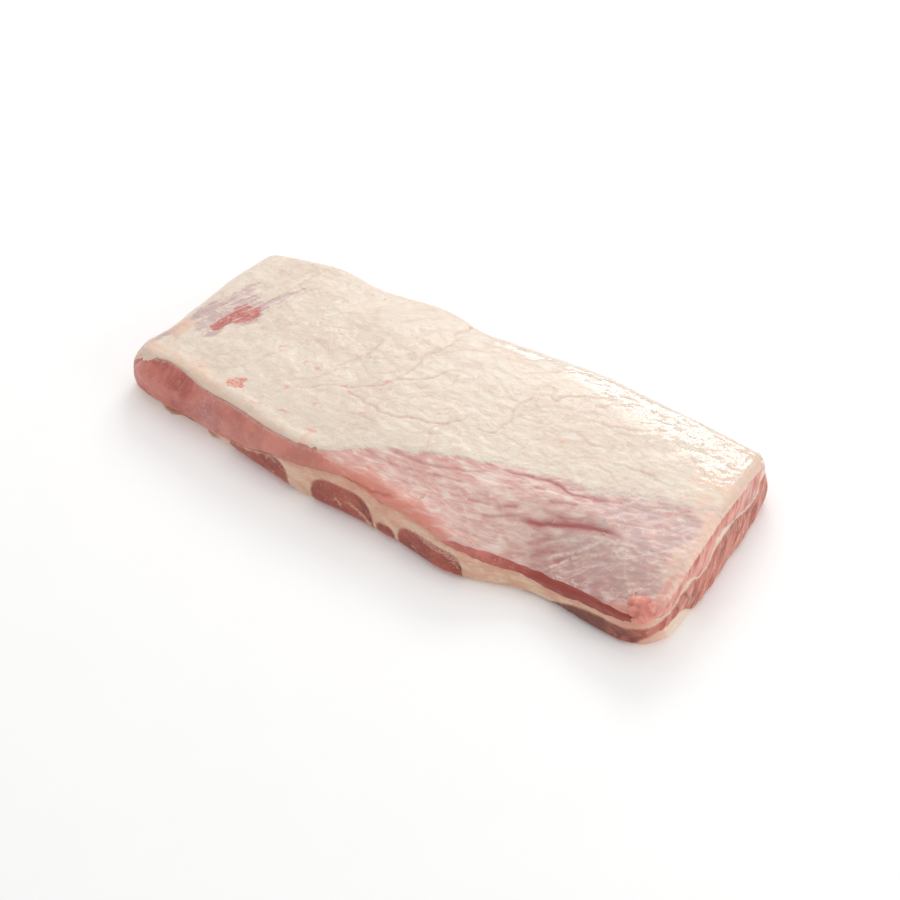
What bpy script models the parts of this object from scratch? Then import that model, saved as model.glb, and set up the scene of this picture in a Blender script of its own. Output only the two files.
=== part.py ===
"""A raw, boneless beef brisket: one slab of meat, modelled as the layers that show at its sides.

From the top down the slab is a fat cover that stops short of the lean patch, the upper muscle, a seam of fat,
and the strips of darker rib meat that the seam fat reaches down between. Every piece is a box whose corners
are carried into the slab by one mapping, brisket_point, so neighbours keep one even gap between them.
Lengths are millimetres here and metres in the file. X runs along the slab, Y from its front side to its back
side, Z up; the slab lies flat on Z = 0.
"""

import math
from bisect import bisect_right

import bmesh
import bpy

MM = 0.001

# ---------------------------------------------------------------- the slab's outline, seen from above
# Each line is (place along the slab, offset): the stations of one smooth edge.
FRONT_EDGE = [(-280, -67), (-235, -72), (-190, -76), (-132, -86), (-80, -92), (-33, -92), (14, -95), (63, -101),
              (95, -96), (116, -88), (137, -85), (168, -87), (190, -90), (236, -92)]
BACK_EDGE = [(-275, 117), (-240, 122), (-201, 127), (-149, 123), (-104, 128), (-70, 127), (-52, 122), (-18, 123),
             (28, 125), (71, 125), (118, 120), (163, 117), (196, 113), (236, 107)]
# The two ends, by the share of the width from the front side (-1) to the back side (1).
LEFT_END = [(-1.0, -284), (-0.8, -281), (-0.6, -276), (-0.3, -275), (0.0, -274), (0.6, -273), (1.0, -271)]
RIGHT_END = [(-1.0, 232), (-0.5, 235), (0.2, 234), (0.6, 232), (1.0, 228)]
# How far the right end leans back at its top.
RIGHT_LEAN = [(-1.0, 3), (-0.5, 6), (0.2, 9), (0.7, 8), (1.0, 5)]
# Corner radii seen from above.
FRONT_LEFT_R, FRONT_RIGHT_R, BACK_LEFT_R, BACK_RIGHT_R = 28, 31, 14, 10

# ---------------------------------------------------------------- heights, at stations along the slab
CROWN_TOP = [(-275, 44), (-200, 48), (-100, 50), (0, 51), (120, 50), (236, 47)]
FRONT_TOP = [(-275, 43), (-200, 46), (-100, 46), (-30, 45), (0, 42), (30, 42), (60, 39), (80, 34), (107, 27),
             (122, 24), (140, 25), (171, 28), (192, 33), (236, 36)]
BACK_TOP = [(-275, 42), (-200, 45), (-90, 46), (-52, 44), (120, 46), (236, 45)]
FRONT_SLOPE, BACK_SLOPE = 62, 50
# The underside of the upper muscle: at the front side, and away from it.
SEAM_AT_FRONT = [(-275, 12), (-244, 6), (-198, 7), (-176, 11), (-153, 15), (-131, 20), (-113, 27), (-100, 30),
                 (-85, 33), (-64, 36), (-40, 39), (-18, 37), (0, 34), (20, 36), (44, 35), (69, 32), (79, 26),
                 (91, 21), (107, 17), (125, 16), (142, 14), (159, 14), (178, 18), (192, 20), (209, 23), (236, 26)]
SEAM_INSIDE = [(-275, 11), (-200, 14), (-100, 23), (0, 28), (100, 29), (236, 28)]
SEAM_REACH = 44
# How the seam waves along the right end, by the place across the slab, and how far in the waves reach.
SEAM_WAVES = [(-95, -1), (-69, 0), (-62, 3), (-47, 6), (-29, -1), (-13, -2), (-1, 4), (21, 6), (42, 1), (76, -4),
              (97, 6), (110, 5)]
WAVE_REACH = 50

# How round the slab's long edges and its ends are.
FRONT_TOP_R = [(-275, 20), (-100, 19), (0, 14), (100, 7), (236, 8)]
FRONT_BOTTOM_R = [(-275, 14), (-150, 13), (-60, 9), (236, 7)]
BACK_TOP_R, BACK_BOTTOM_R = 13, 9
LEFT_TOP_R, LEFT_BOTTOM_R = 23, 10
RIGHT_TOP_R, RIGHT_BOTTOM_R = 7, 6

# ---------------------------------------------------------------- the layers
FAT_THICK, FAT_THICK_AT_BACK, FAT_THICK_AT_LEFT, FAT_THICK_AT_RIGHT, FAT_THICK_AT_RIM = 6.0, 8.5, 4.0, 3.0, 0.9
LEFT_TAPER, RIGHT_TAPER = 60, 120
# The front rim of the fat cover: it keeps back from the slab's front edge, then leaves the lean patch bare.
COVER_RIM = [(-284, -53), (-255, -60), (-225, -66), (-200, -68), (-150, -74), (-110, -80), (-85, -83), (-69, -79),
             (-52, -67), (-35, -56), (-14, -49), (7, -39), (29, -30), (52, -24), (74, -17), (95, -14), (114, -9),
             (138, -7), (165, 6), (194, 15), (217, 21), (236, 28)]
RIM_RISE = [(-279, 14), (-100, 22), (0, 40), (236, 50)]
GAP = 0.3
SEAM_THIN = 1.6
# Rib meat strips, left to right: (left side, right side, height at the front side, height inside). The last has
# no right side: it runs out at the slab's end.
RIB_MEAT = [(-155, -88, 28, 22), (-71, -5, 31, 26), (-2, 17, 16, 20), (20, 78, 26, 27), (128, None, 12, 30)]
RIB_REACH = 26
DOME, RIB_EDGE = 4.0, 0.004
# The share of the last strip's width over which its left side rounds up.
LAST_SHOULDER = 0.35
# The lobe of fat under the right end, near its front corner: its height there, by the place across the slab.
LOBE = [(-92, 6), (-81, 10), (-63, 15), (-38, 3)]
LOBE_REACH, LOBE_THIN, LOBE_GAP = 14, 0.8, 0.9
LOBE_COLUMNS, LOBE_ROWS = 3, 4
# The nub of meat that stands up at the front right corner.
NUB_PLACE, NUB_SIZE = (211, -77, 33.5), (6.5, 7.5, 5.5)

# How finely the layers are cut, and how far apart the plain stations keep from those of a strip.
PLAIN_CUTS, RIM_CUTS, COVER_CUTS, LEVELS, STRIP_CUTS, SHOULDER_CUTS = 14, 5, 7, 4, 6, 5
LAST_STATIONS = [0.5, 0.64, 0.76, 0.87, 0.94, 1.0]
STATION_ROOM, CROWDING = 0.03, 1.5

FAT_COLOUR, INNER_FAT_COLOUR = (0.80, 0.70, 0.59), (0.68, 0.50, 0.36)
MUSCLE_COLOUR, RIB_COLOUR = (0.47, 0.13, 0.10), (0.30, 0.07, 0.06)


def smooth_step(t):
    t = min(1.0, max(0.0, t))
    return t * t * (3 - 2 * t)


def mix(start, end, share):
    return start + (end - start) * share


def along(stations, place):
    """A smooth line through the stations. Its slope at each is that between its two neighbours."""
    places = [p for p, _ in stations]
    i = min(max(bisect_right(places, place) - 1, 0), len(stations) - 2)

    def slope(k):
        before, after = stations[max(k - 1, 0)], stations[min(k + 1, len(stations) - 1)]
        return (after[1] - before[1]) / (after[0] - before[0])

    (x0, y0), (x1, y1) = stations[i], stations[i + 1]
    span = x1 - x0
    t = min(1.0, max(0.0, (place - x0) / span))
    m0, m1 = slope(i) * span, slope(i + 1) * span
    ease = t * t * (3 - 2 * t)
    return mix(y0, y1, ease) + m0 * (t**3 - 2 * t**2 + t) + m1 * (t**3 - t**2)


def round_over(distance, radius):
    """How far a rounded edge falls away at a distance from it: an eighth of a circle, whose rim slopes 45 degrees."""
    reach = max(0.0, radius * math.sqrt(0.5) - distance)
    return radius - math.sqrt(radius**2 - reach**2)


def plan_x(a, b):
    """The place along the slab of the point a (-1 left to 1 right), b (-1 front to 1 back)."""
    return mix(along(LEFT_END, b), along(RIGHT_END, b), (a + 1) / 2)


def height_limits(x, from_left, from_right, from_front, from_back):
    """The slab's lowest and highest point over a place in its plan, with its edges rounded over."""
    crown = along(CROWN_TOP, x)
    front_share = 1 - smooth_step(from_front / FRONT_SLOPE)
    back_share = 1 - smooth_step(from_back / BACK_SLOPE)
    top = crown + (along(FRONT_TOP, x) - crown) * front_share + (along(BACK_TOP, x) - crown) * back_share
    top -= round_over(from_front, along(FRONT_TOP_R, x)) + round_over(from_back, BACK_TOP_R)
    top -= round_over(from_left, LEFT_TOP_R) + round_over(from_right, RIGHT_TOP_R)
    bottom = round_over(from_front, along(FRONT_BOTTOM_R, x)) + round_over(from_back, BACK_BOTTOM_R)
    bottom += round_over(from_left, LEFT_BOTTOM_R) + round_over(from_right, RIGHT_BOTTOM_R)
    return bottom, top


def edges_at(a, b):
    """The place of (a, b) along the slab, the slab's front and back there, and the distances to its four sides."""
    x = plan_x(a, b)
    front, back = along(FRONT_EDGE, x), along(BACK_EDGE, x)
    left, right = along(LEFT_END, b), along(RIGHT_END, b)
    from_front, from_back = (back - front) * (1 + b) / 2, (back - front) * (1 - b) / 2
    return x, front, back, x - left, right - x, from_front, from_back


def wall_inset(height, rise, top_radius, bottom_radius):
    """How far a side wall stands in from its widest line, at a share of its height."""
    return round_over((1 - height) * rise, top_radius) + round_over(height * rise, bottom_radius)


def brisket_point(a, b, height):
    """The mapping of the whole slab. a is -1 to 1 left to right, b is -1 to 1 front to back, height is 0 to 1."""
    x, front, back, from_left, from_right, from_front, from_back = edges_at(a, b)
    bottom, top = height_limits(x, from_left, from_right, from_front, from_back)
    length, width = from_left + from_right, back - front

    low, high = height_limits(x, from_left, from_right, 0, width)
    front_in = wall_inset(height, high - low, along(FRONT_TOP_R, x), along(FRONT_BOTTOM_R, x))
    low, high = height_limits(x, from_left, from_right, width, 0)
    back_in = wall_inset(height, high - low, BACK_TOP_R, BACK_BOTTOM_R)
    low, high = height_limits(x - from_left, 0, length, from_front, from_back)
    left_in = wall_inset(height, high - low, LEFT_TOP_R, LEFT_BOTTOM_R)
    low, high = height_limits(x + from_right, length, 0, from_front, from_back)
    right_in = wall_inset(height, high - low, RIGHT_TOP_R, RIGHT_BOTTOM_R) + along(RIGHT_LEAN, b) * height**1.5

    front_in += round_over(from_left, FRONT_LEFT_R) + round_over(from_right, FRONT_RIGHT_R)
    back_in += round_over(from_left, BACK_LEFT_R) + round_over(from_right, BACK_RIGHT_R)
    left_in += round_over(from_front, FRONT_LEFT_R) + round_over(from_back, BACK_LEFT_R)
    right_in += round_over(from_front, FRONT_RIGHT_R) + round_over(from_back, BACK_RIGHT_R)

    x += left_in * (1 - a) / 2 - right_in * (1 + a) / 2
    y = mix(front + front_in, back - back_in, (1 + b) / 2)
    return x, y, mix(bottom, top, height)


def share_of_height(a, b, z):
    """The share of the slab's local height at which a level z lies."""
    x, _, _, from_left, from_right, from_front, from_back = edges_at(a, b)
    bottom, top = height_limits(x, from_left, from_right, from_front, from_back)
    return (z - bottom) / (top - bottom), top


def row_place(a, row):
    """The b of a row: rows -1 to 0 run from the front side to the fat cover's rim, rows 0 to 1 from there back."""
    x = plan_x(a, 0)
    front, back = along(FRONT_EDGE, x), along(BACK_EDGE, x)
    rim = 2 * (along(COVER_RIM, x) - front) / (back - front) - 1
    return mix(-1, rim, row + 1) if row < 0 else mix(rim, 1, row)


def cover_thickness(a, b, row):
    """How thick the fat is, in millimetres, over a place behind its rim; in front of the rim there is none."""
    if row < 0:
        return 0.0
    x, front, _, from_left, from_right, from_front, _ = edges_at(a, b)
    fat = mix(FAT_THICK, FAT_THICK_AT_BACK, smooth_step(b))
    fat = mix(FAT_THICK_AT_LEFT, fat, smooth_step(from_left / LEFT_TAPER))
    fat = mix(FAT_THICK_AT_RIGHT, fat, smooth_step(from_right / RIGHT_TAPER))
    behind = from_front + front - along(COVER_RIM, x)
    return mix(FAT_THICK_AT_RIM, fat, smooth_step(behind / along(RIM_RISE, x)))


def under_cover(a, b, row, away):
    """The share of the height at the fat's underside, moved by away millimetres. Bare meat reaches the slab's top."""
    _, top = share_of_height(a, b, 0)
    thickness = cover_thickness(a, b, row)
    return share_of_height(a, b, top - thickness + away)[0] if thickness else 1.0


def seam_level(a, b):
    """The height of the upper muscle's underside, in millimetres."""
    x, front, _, _, from_right, from_front, _ = edges_at(a, b)
    waves = along(SEAM_WAVES, front + from_front) * (1 - smooth_step(from_right / WAVE_REACH))
    near_front = 1 - smooth_step(from_front / SEAM_REACH)
    return mix(along(SEAM_INSIDE, x) + waves, along(SEAM_AT_FRONT, x), near_front)


def strip_span(strip, grow=0.0):
    """The a values of a rib meat strip's two sides, moved outwards by grow."""
    left, right, _, _ = strip
    start, end = LEFT_END[2][1], RIGHT_END[1][1]

    def to_a(x):
        return 2 * (x - start) / (end - start) - 1

    return to_a(left - grow), 1.0 if right is None else to_a(right + grow)


def strip_roof(strip, a, b, grow=0.0):
    """The level of a strip's domed top, in millimetres, made larger all round by grow."""
    start, end = strip_span(strip, grow)
    _, right, front_height, inner_height = strip
    from_front = edges_at(a, b)[5]
    if right is None:
        across = max(0.0, 1 - (a - start) / (LAST_SHOULDER * (end - start)))
    else:
        across = abs(2 * (a - start) / (end - start) - 1)
    height = mix(inner_height, front_height, 1 - smooth_step(from_front / RIB_REACH))
    dome = (height + grow) * max(0.0, 1 - across**DOME) ** (1 / DOME)
    return min(dome, seam_level(a, b) - SEAM_THIN - GAP / 2 + grow)


def fat_floor(a, b):
    """The underside of the seam fat: the slab's own underside, arched over each strip of rib meat."""
    level = 0.0
    for strip in RIB_MEAT:
        start, end = strip_span(strip, GAP)
        if start < a < end or end == a == 1.0:
            level = max(level, strip_roof(strip, a, b, GAP))
    return max(0.0, share_of_height(a, b, level)[0])


def lobe_roof(a, b):
    """The share of the height at the top of the fat lobe, which thins away from the slab's end."""
    _, front, _, _, from_right, from_front, _ = edges_at(a, b)
    height = along(LOBE, front + from_front) * (1 - smooth_step(from_right / LOBE_REACH))
    ground, _ = share_of_height(a, b, 0)
    thin = share_of_height(a, b, LOBE_THIN)[0] - ground
    return max(share_of_height(a, b, height)[0], thin)


def even(count):
    return [2 * i / count - 1 for i in range(count + 1)]


def edge_heavy(count):
    """Stations from -1 to 1 that crowd towards both ends, where the slab rounds over."""
    return [math.copysign(1 - (1 - abs(s)) ** CROWDING, s) for s in even(count)]


def layer_rows():
    """Rows across the slab: they crowd towards its front side, the back of the fat's rim, and its back side."""
    bare = [-1 + (i / RIM_CUTS) ** CROWDING for i in range(RIM_CUTS)]
    covered = [(1 - math.cos(math.pi * i / COVER_CUTS)) / 2 for i in range(COVER_CUTS + 1)]
    return bare + covered


def strip_shares(strip):
    """How a strip's width is divided: finely where its dome turns down."""
    if strip[1] is None:
        turn = [math.cos(math.pi / 2 * i / SHOULDER_CUTS) for i in range(SHOULDER_CUTS + 1)]
        return [LAST_SHOULDER * (1 - t) for t in turn] + LAST_STATIONS
    return [(1 - math.cos(math.pi * i / STRIP_CUTS)) / 2 for i in range(STRIP_CUTS + 1)]


def strip_stations(strip, grow=0.0):
    start, end = strip_span(strip, grow)
    return [mix(start, end, share) for share in strip_shares(strip)]


def layer_stations():
    """Stations along the slab for its layers: those of the strips of rib meat, and some between them."""
    found, plain = {1.0}, set(edge_heavy(PLAIN_CUTS))
    for strip in RIB_MEAT:
        start, end = strip_span(strip, 2 * GAP)
        found |= {start, end} | set(strip_stations(strip, GAP))
        plain = {s for s in plain if not start - STATION_ROOM < s < end + STATION_ROOM}
    return sorted(found | plain)


def block(name, material, a_stations, rows, floor, roof, levels, collection):
    """A box, cut at the stations and rows, whose corners go where the slab's mapping puts them.

    floor and roof give shares of the slab's height there."""
    bm = bmesh.new()
    bmesh.ops.create_cube(bm, size=2)
    cuts = (len(a_stations) - 2, len(rows) - 2, levels - 1)
    for axis, count in enumerate(cuts):
        lines = [e for e in bm.edges if abs(e.verts[0].co[axis] - e.verts[1].co[axis]) > 1]
        bmesh.ops.subdivide_edges(bm, edges=lines, cuts=count, use_grid_fill=True)
    # Neighbours split their shared walls the same way, so that they stay a gap apart.
    for face in list(bm.faces):
        ranked = sorted(face.verts, key=lambda corner: sum(corner.co))
        bmesh.utils.face_split(face, ranked[0], ranked[-1])
    for corner in bm.verts:
        column = round((corner.co.x + 1) / 2 * (len(a_stations) - 1))
        row = rows[round((corner.co.y + 1) / 2 * (len(rows) - 1))]
        a = a_stations[column]
        b = row_place(a, row)
        height = mix(floor(a, b, row), roof(a, b, row), (corner.co.z + 1) / 2)
        corner.co = [MM * (value - shift) for value, shift in zip(brisket_point(a, b, height), CENTRE)]
    mesh = bpy.data.meshes.new(name)
    bm.to_mesh(mesh)
    bm.free()
    mesh.shade_smooth()
    mesh.materials.append(material)
    piece = bpy.data.objects.new(name, mesh)
    collection.objects.link(piece)
    return piece


def finish(name, colour, roughness):
    material = bpy.data.materials.new(name)
    material.use_nodes = True
    shader = material.node_tree.nodes["Principled BSDF"]
    shader.inputs["Base Color"].default_value = (*colour, 1)
    shader.inputs["Roughness"].default_value = roughness
    return material


def slab_centre():
    """The middle of the slab's box and its underside, so that the origin lies there."""
    rim = [brisket_point(a, b, h / 8) for a in even(120) for b in even(40) for h in range(9)]
    low, high = [min(p[k] for p in rim) for k in range(3)], [max(p[k] for p in rim) for k in range(3)]
    return (low[0] + high[0]) / 2, (low[1] + high[1]) / 2, low[2]


CENTRE = slab_centre()


def add_nub(muscle):
    """The nub is a small ball, joined to the upper muscle."""
    bpy.ops.mesh.primitive_uv_sphere_add(segments=12, ring_count=8)
    nub = bpy.context.object
    for corner in nub.data.vertices:
        corner.co = [MM * (p - c + r * v) for p, c, r, v in zip(NUB_PLACE, CENTRE, NUB_SIZE, corner.co)]
    join = muscle.modifiers.new("Nub", "BOOLEAN")
    join.operation, join.solver, join.object = "UNION", "EXACT", nub
    bpy.context.view_layer.objects.active = muscle
    bpy.ops.object.modifier_apply(modifier=join.name)
    bpy.data.objects.remove(nub)
    muscle.data.shade_smooth()


def make_fat_cover(columns, rows, material, home):
    def floor(a, b, row):
        return under_cover(a, b, row, GAP / 2)

    covered = [row for row in rows if row >= 0]
    block("fat_cover", material, columns, covered, floor, lambda a, b, row: 1.0, 1, home)


def make_upper_muscle(columns, rows, material, home):
    def floor(a, b, row):
        return share_of_height(a, b, seam_level(a, b) + GAP / 2)[0]

    def roof(a, b, row):
        return under_cover(a, b, row, -GAP / 2)

    add_nub(block("upper_muscle", material, columns, rows, floor, roof, LEVELS, home))


def make_seam_fat(columns, rows, material, home):
    def floor(a, b, row):
        return fat_floor(a, b)

    def roof(a, b, row):
        return share_of_height(a, b, seam_level(a, b) - GAP / 2)[0]

    block("seam_fat", material, columns, rows, floor, roof, 2, home)


def make_rib_meat(number, strip, rows, material, home):
    """One strip. The last stands on the fat lobe where it crosses it."""
    over_lobe = strip_stations(RIB_MEAT[-1])[-LOBE_COLUMNS:]

    def floor(a, b, row):
        if a not in over_lobe or row not in rows[:LOBE_ROWS]:
            return 0.0
        return lobe_roof(a, b) + share_of_height(a, b, LOBE_GAP)[0] - share_of_height(a, b, 0)[0]

    def roof(a, b, row):
        return max(share_of_height(a, b, strip_roof(strip, a, b))[0], RIB_EDGE)

    block(f"rib_meat_{number}", material, strip_stations(strip), rows, floor, roof, 2, home)


def make_end_fat(rows, material, home):
    def roof(a, b, row):
        return lobe_roof(a, b)

    columns = strip_stations(RIB_MEAT[-1])[-LOBE_COLUMNS:]
    block("end_fat", material, columns, rows[:LOBE_ROWS], lambda a, b, row: 0.0, roof, 1, home)


def main():
    for old in list(bpy.data.objects):
        bpy.data.objects.remove(old)
    home = bpy.data.collections.new("Beef brisket")
    bpy.context.scene.collection.children.link(home)
    fat, inner_fat = finish("Fat", FAT_COLOUR, 0.45), finish("Inner fat", INNER_FAT_COLOUR, 0.5)
    muscle, rib_meat = finish("Muscle", MUSCLE_COLOUR, 0.5), finish("Rib meat", RIB_COLOUR, 0.5)
    columns, rows = layer_stations(), layer_rows()
    make_fat_cover(columns, rows, fat, home)
    make_upper_muscle(columns, rows, muscle, home)
    make_seam_fat(columns, rows, inner_fat, home)
    for number, strip in enumerate(RIB_MEAT, 1):
        make_rib_meat(number, strip, rows, rib_meat, home)
    make_end_fat(rows, inner_fat, home)


main()
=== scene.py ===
# %% [markdown]
# # A raw beef brisket
#
# The real thing is a trimmed slab of raw beef. Cream fat covers most of its top, pale lean meat with a
# silvery membrane shows in front of the fat, a thick muscle rolls over the front edge, and fat and
# strips of rib meat lie under it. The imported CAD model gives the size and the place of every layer, so
# it is loaded first and kept as the frame that everything else fits.

import math
from itertools import product

import bpy
import numpy as np
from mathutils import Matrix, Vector


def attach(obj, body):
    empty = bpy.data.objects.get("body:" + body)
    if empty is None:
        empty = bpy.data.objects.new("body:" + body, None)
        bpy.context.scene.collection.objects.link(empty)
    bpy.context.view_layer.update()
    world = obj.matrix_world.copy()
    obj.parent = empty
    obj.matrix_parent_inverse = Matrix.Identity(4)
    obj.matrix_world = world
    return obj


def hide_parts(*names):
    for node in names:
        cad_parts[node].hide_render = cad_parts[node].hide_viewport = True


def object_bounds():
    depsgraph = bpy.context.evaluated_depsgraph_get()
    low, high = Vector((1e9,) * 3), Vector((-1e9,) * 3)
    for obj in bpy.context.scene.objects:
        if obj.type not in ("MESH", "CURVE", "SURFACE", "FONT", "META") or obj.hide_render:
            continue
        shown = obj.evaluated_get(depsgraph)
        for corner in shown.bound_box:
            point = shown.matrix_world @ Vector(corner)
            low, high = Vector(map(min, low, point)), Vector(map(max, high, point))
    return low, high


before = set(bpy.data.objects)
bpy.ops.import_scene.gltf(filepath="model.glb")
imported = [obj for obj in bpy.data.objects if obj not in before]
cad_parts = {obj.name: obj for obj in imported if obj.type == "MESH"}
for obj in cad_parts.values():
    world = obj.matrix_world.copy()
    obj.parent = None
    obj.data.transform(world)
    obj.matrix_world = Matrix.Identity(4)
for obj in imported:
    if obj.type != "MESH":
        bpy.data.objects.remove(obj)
CAD_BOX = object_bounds()
MM = 0.001
print("slab, mm:", [round((high - low) / MM, 1) for low, high in zip(*CAD_BOX)])

# %% [markdown]
# ## The slab's measures
#
# A slab of meat has no straight edge and no flat face, but it does have outlines that can be measured:
# where its sides run, how high it stands, where one layer meets the next. Each outline is kept as a
# short list of stations, in millimetres, with a smooth line drawn through them. This is far less work
# than sculpting, and every layer reads the same lists, so the layers can't drift apart.

# %% Outlines of the slab
FRONT_EDGE = [(-280, -67), (-235, -72), (-190, -76), (-132, -86), (-80, -92), (-33, -92), (14, -95),
              (63, -101), (95, -96), (116, -88), (137, -85), (168, -87), (190, -90), (236, -92)]
BACK_EDGE = [(-275, 117), (-240, 122), (-201, 127), (-149, 123), (-104, 128), (-70, 127), (-52, 122),
             (-18, 123), (28, 125), (71, 125), (118, 120), (163, 117), (196, 113), (236, 107)]
LEFT_END = [(-1.0, -284), (-0.8, -281), (-0.6, -276), (-0.3, -275), (0.0, -274), (0.6, -273), (1.0, -271)]
RIGHT_END = [(-1.0, 232), (-0.5, 235), (0.2, 234), (0.6, 232), (1.0, 228)]
RIGHT_LEAN = [(-1.0, 3), (-0.5, 6), (0.2, 9), (0.7, 8), (1.0, 5)]
FRONT_LEFT_R, FRONT_RIGHT_R, BACK_LEFT_R, BACK_RIGHT_R = 28, 31, 14, 10
CROWN_TOP = [(-275, 44), (-200, 48), (-100, 50), (0, 51), (120, 50), (236, 47)]
FRONT_TOP = [(-275, 43), (-200, 46), (-100, 46), (-30, 45), (0, 42), (30, 42), (60, 39), (80, 34),
             (107, 27), (122, 24), (140, 25), (171, 28), (192, 33), (236, 36)]
BACK_TOP = [(-275, 42), (-200, 45), (-90, 46), (-52, 44), (120, 46), (236, 45)]
FRONT_SLOPE, BACK_SLOPE = 62, 50
FRONT_TOP_R = [(-275, 20), (-100, 19), (0, 14), (100, 7), (236, 8)]
FRONT_BOTTOM_R = [(-275, 14), (-150, 13), (-60, 9), (236, 7)]
BACK_TOP_R, BACK_BOTTOM_R = 13, 9
LEFT_TOP_R, LEFT_BOTTOM_R = 23, 10
RIGHT_TOP_R, RIGHT_BOTTOM_R = 7, 6

# %% Outlines of its layers
SEAM_AT_FRONT = [(-275, 12), (-244, 6), (-198, 7), (-176, 11), (-153, 15), (-131, 20), (-113, 27),
                 (-100, 30), (-85, 33), (-64, 36), (-40, 39), (-18, 37), (0, 34), (20, 36), (44, 35),
                 (69, 31), (81, 28), (94, 25), (109, 21), (125, 19), (143, 16), (160, 17), (178, 21),
                 (196, 22), (211, 24), (236, 26)]
SEAM_INSIDE = [(-275, 11), (-200, 14), (-100, 23), (0, 28), (100, 29), (236, 28)]
SEAM_REACH = 44
SEAM_WAVES = [(-95, -1), (-69, 0), (-62, 3), (-47, 6), (-29, -1), (-13, -2), (-1, 4), (21, 6), (42, 1),
              (76, -4), (97, 6), (110, 5)]
WAVE_REACH = 50
FAT_THICK, FAT_THICK_AT_BACK, FAT_THICK_AT_LEFT, FAT_THICK_AT_RIGHT = 6.0, 8.5, 4.0, 3.0
FAT_THICK_AT_RIM = 0.25
LEFT_TAPER, RIGHT_TAPER = 60, 120
COVER_RIM = [(-284, -63), (-262, -63), (-243, -62), (-228, -64), (-213, -68), (-200, -72), (-188, -74),
             (-169, -76), (-150, -79), (-127, -83), (-105, -85), (-85, -86), (-69, -83), (-52, -74),
             (-35, -62), (-14, -53), (7, -43), (29, -34), (52, -25), (74, -17), (95, -14),
             (114, -9), (138, -7), (165, 6), (194, 15), (217, 21), (236, 28)]
RIM_RISE = [(-279, 14), (-100, 22), (0, 40), (236, 50)]
# Strips of rib meat: left side, right side, height at the front, height inside. The last runs to the
# slab's end.
RIB_MEAT = [(-155, -88, 28, 22), (-64, -4, 31, 26), (0, 19, 15, 20), (22, 83, 26, 27),
            (128, None, 12, 30)]
# The last strip's height along the front side.
LAST_AT_FRONT = [(128, 0.8), (148, 1.6), (157, 7), (172, 14), (196, 17.5), (212, 17.5), (236, 19)]
RIB_REACH, SEAM_THIN, LAST_SHOULDER, DOME = 26, 1.6, 0.35, 4.0
# The lobe of fat under the right end: its height there, by the place across the slab.
LOBE = [(-96, 5), (-90, 10), (-81, 13.5), (-63, 16), (-50, 10), (-38, 0)]
LOBE_REACH = 15
print(len(RIB_MEAT), "strips of rib meat")

# %% [markdown]
# ## Smooth lines through the stations
#
# A curve object could draw each outline, but thousands of points have to be looked up along it. A cubic
# line in NumPy does all of them at once. `round_over` is the quarter-round that a soft edge has: it
# says how far the surface falls away at a distance from the edge.

# %% Lines, steps and rounded edges
def smooth_step(t):
    t = np.clip(t, 0.0, 1.0)
    return t * t * (3 - 2 * t)


def mix(start, end, share):
    return start + (end - start) * share


def along(stations, place):
    """A smooth line through the stations. Its slope at each is that between its two neighbours."""
    x, y = np.array(stations, float).T
    slopes = np.empty_like(y)
    slopes[1:-1] = (y[2:] - y[:-2]) / (x[2:] - x[:-2])
    slopes[0], slopes[-1] = (y[1] - y[0]) / (x[1] - x[0]), (y[-1] - y[-2]) / (x[-1] - x[-2])
    i = np.clip(np.searchsorted(x, place, side="right") - 1, 0, len(x) - 2)
    span = x[i + 1] - x[i]
    t = np.clip((place - x[i]) / span, 0, 1)
    bends = slopes[i] * (t**3 - 2 * t**2 + t) + slopes[i + 1] * (t**3 - t**2)
    return mix(y[i], y[i + 1], t * t * (3 - 2 * t)) + span * bends


def round_over(distance, radius):
    reach = np.maximum(0.0, radius * math.sqrt(0.5) - distance)
    return radius - np.sqrt(radius**2 - reach**2)


# %% [markdown]
# ## Bending a block into the slab
#
# Every layer starts as a neat block with three numbers for each point: how far along, how far across,
# how high. One function bends that block into the whole slab, with its curved sides, its crown and its
# soft edges. Because all the layers go through the same function, two layers that share a wall still
# share it afterwards.

# %% The bend
def plan_x(a, b):
    return mix(along(LEFT_END, b), along(RIGHT_END, b), (a + 1) / 2)


def height_limits(x, from_left, from_right, from_front, from_back):
    """The slab's lowest and highest point over a place in its plan."""
    crown = along(CROWN_TOP, x)
    front_share = 1 - smooth_step(from_front / FRONT_SLOPE)
    back_share = 1 - smooth_step(from_back / BACK_SLOPE)
    top = crown + (along(FRONT_TOP, x) - crown) * front_share + (along(BACK_TOP, x) - crown) * back_share
    top = top - round_over(from_front, along(FRONT_TOP_R, x)) - round_over(from_back, BACK_TOP_R)
    top = top - round_over(from_left, LEFT_TOP_R) - round_over(from_right, RIGHT_TOP_R)
    bottom = round_over(from_front, along(FRONT_BOTTOM_R, x)) + round_over(from_back, BACK_BOTTOM_R)
    return bottom + round_over(from_left, LEFT_BOTTOM_R) + round_over(from_right, RIGHT_BOTTOM_R), top


def edges_at(a, b):
    x = plan_x(a, b)
    front, back = along(FRONT_EDGE, x), along(BACK_EDGE, x)
    left, right = along(LEFT_END, b), along(RIGHT_END, b)
    from_front, from_back = (back - front) * (1 + b) / 2, (back - front) * (1 - b) / 2
    return x, front, back, x - left, right - x, from_front, from_back


def wall_inset(height, rise, top_radius, bottom_radius):
    return round_over((1 - height) * rise, top_radius) + round_over(height * rise, bottom_radius)


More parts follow.
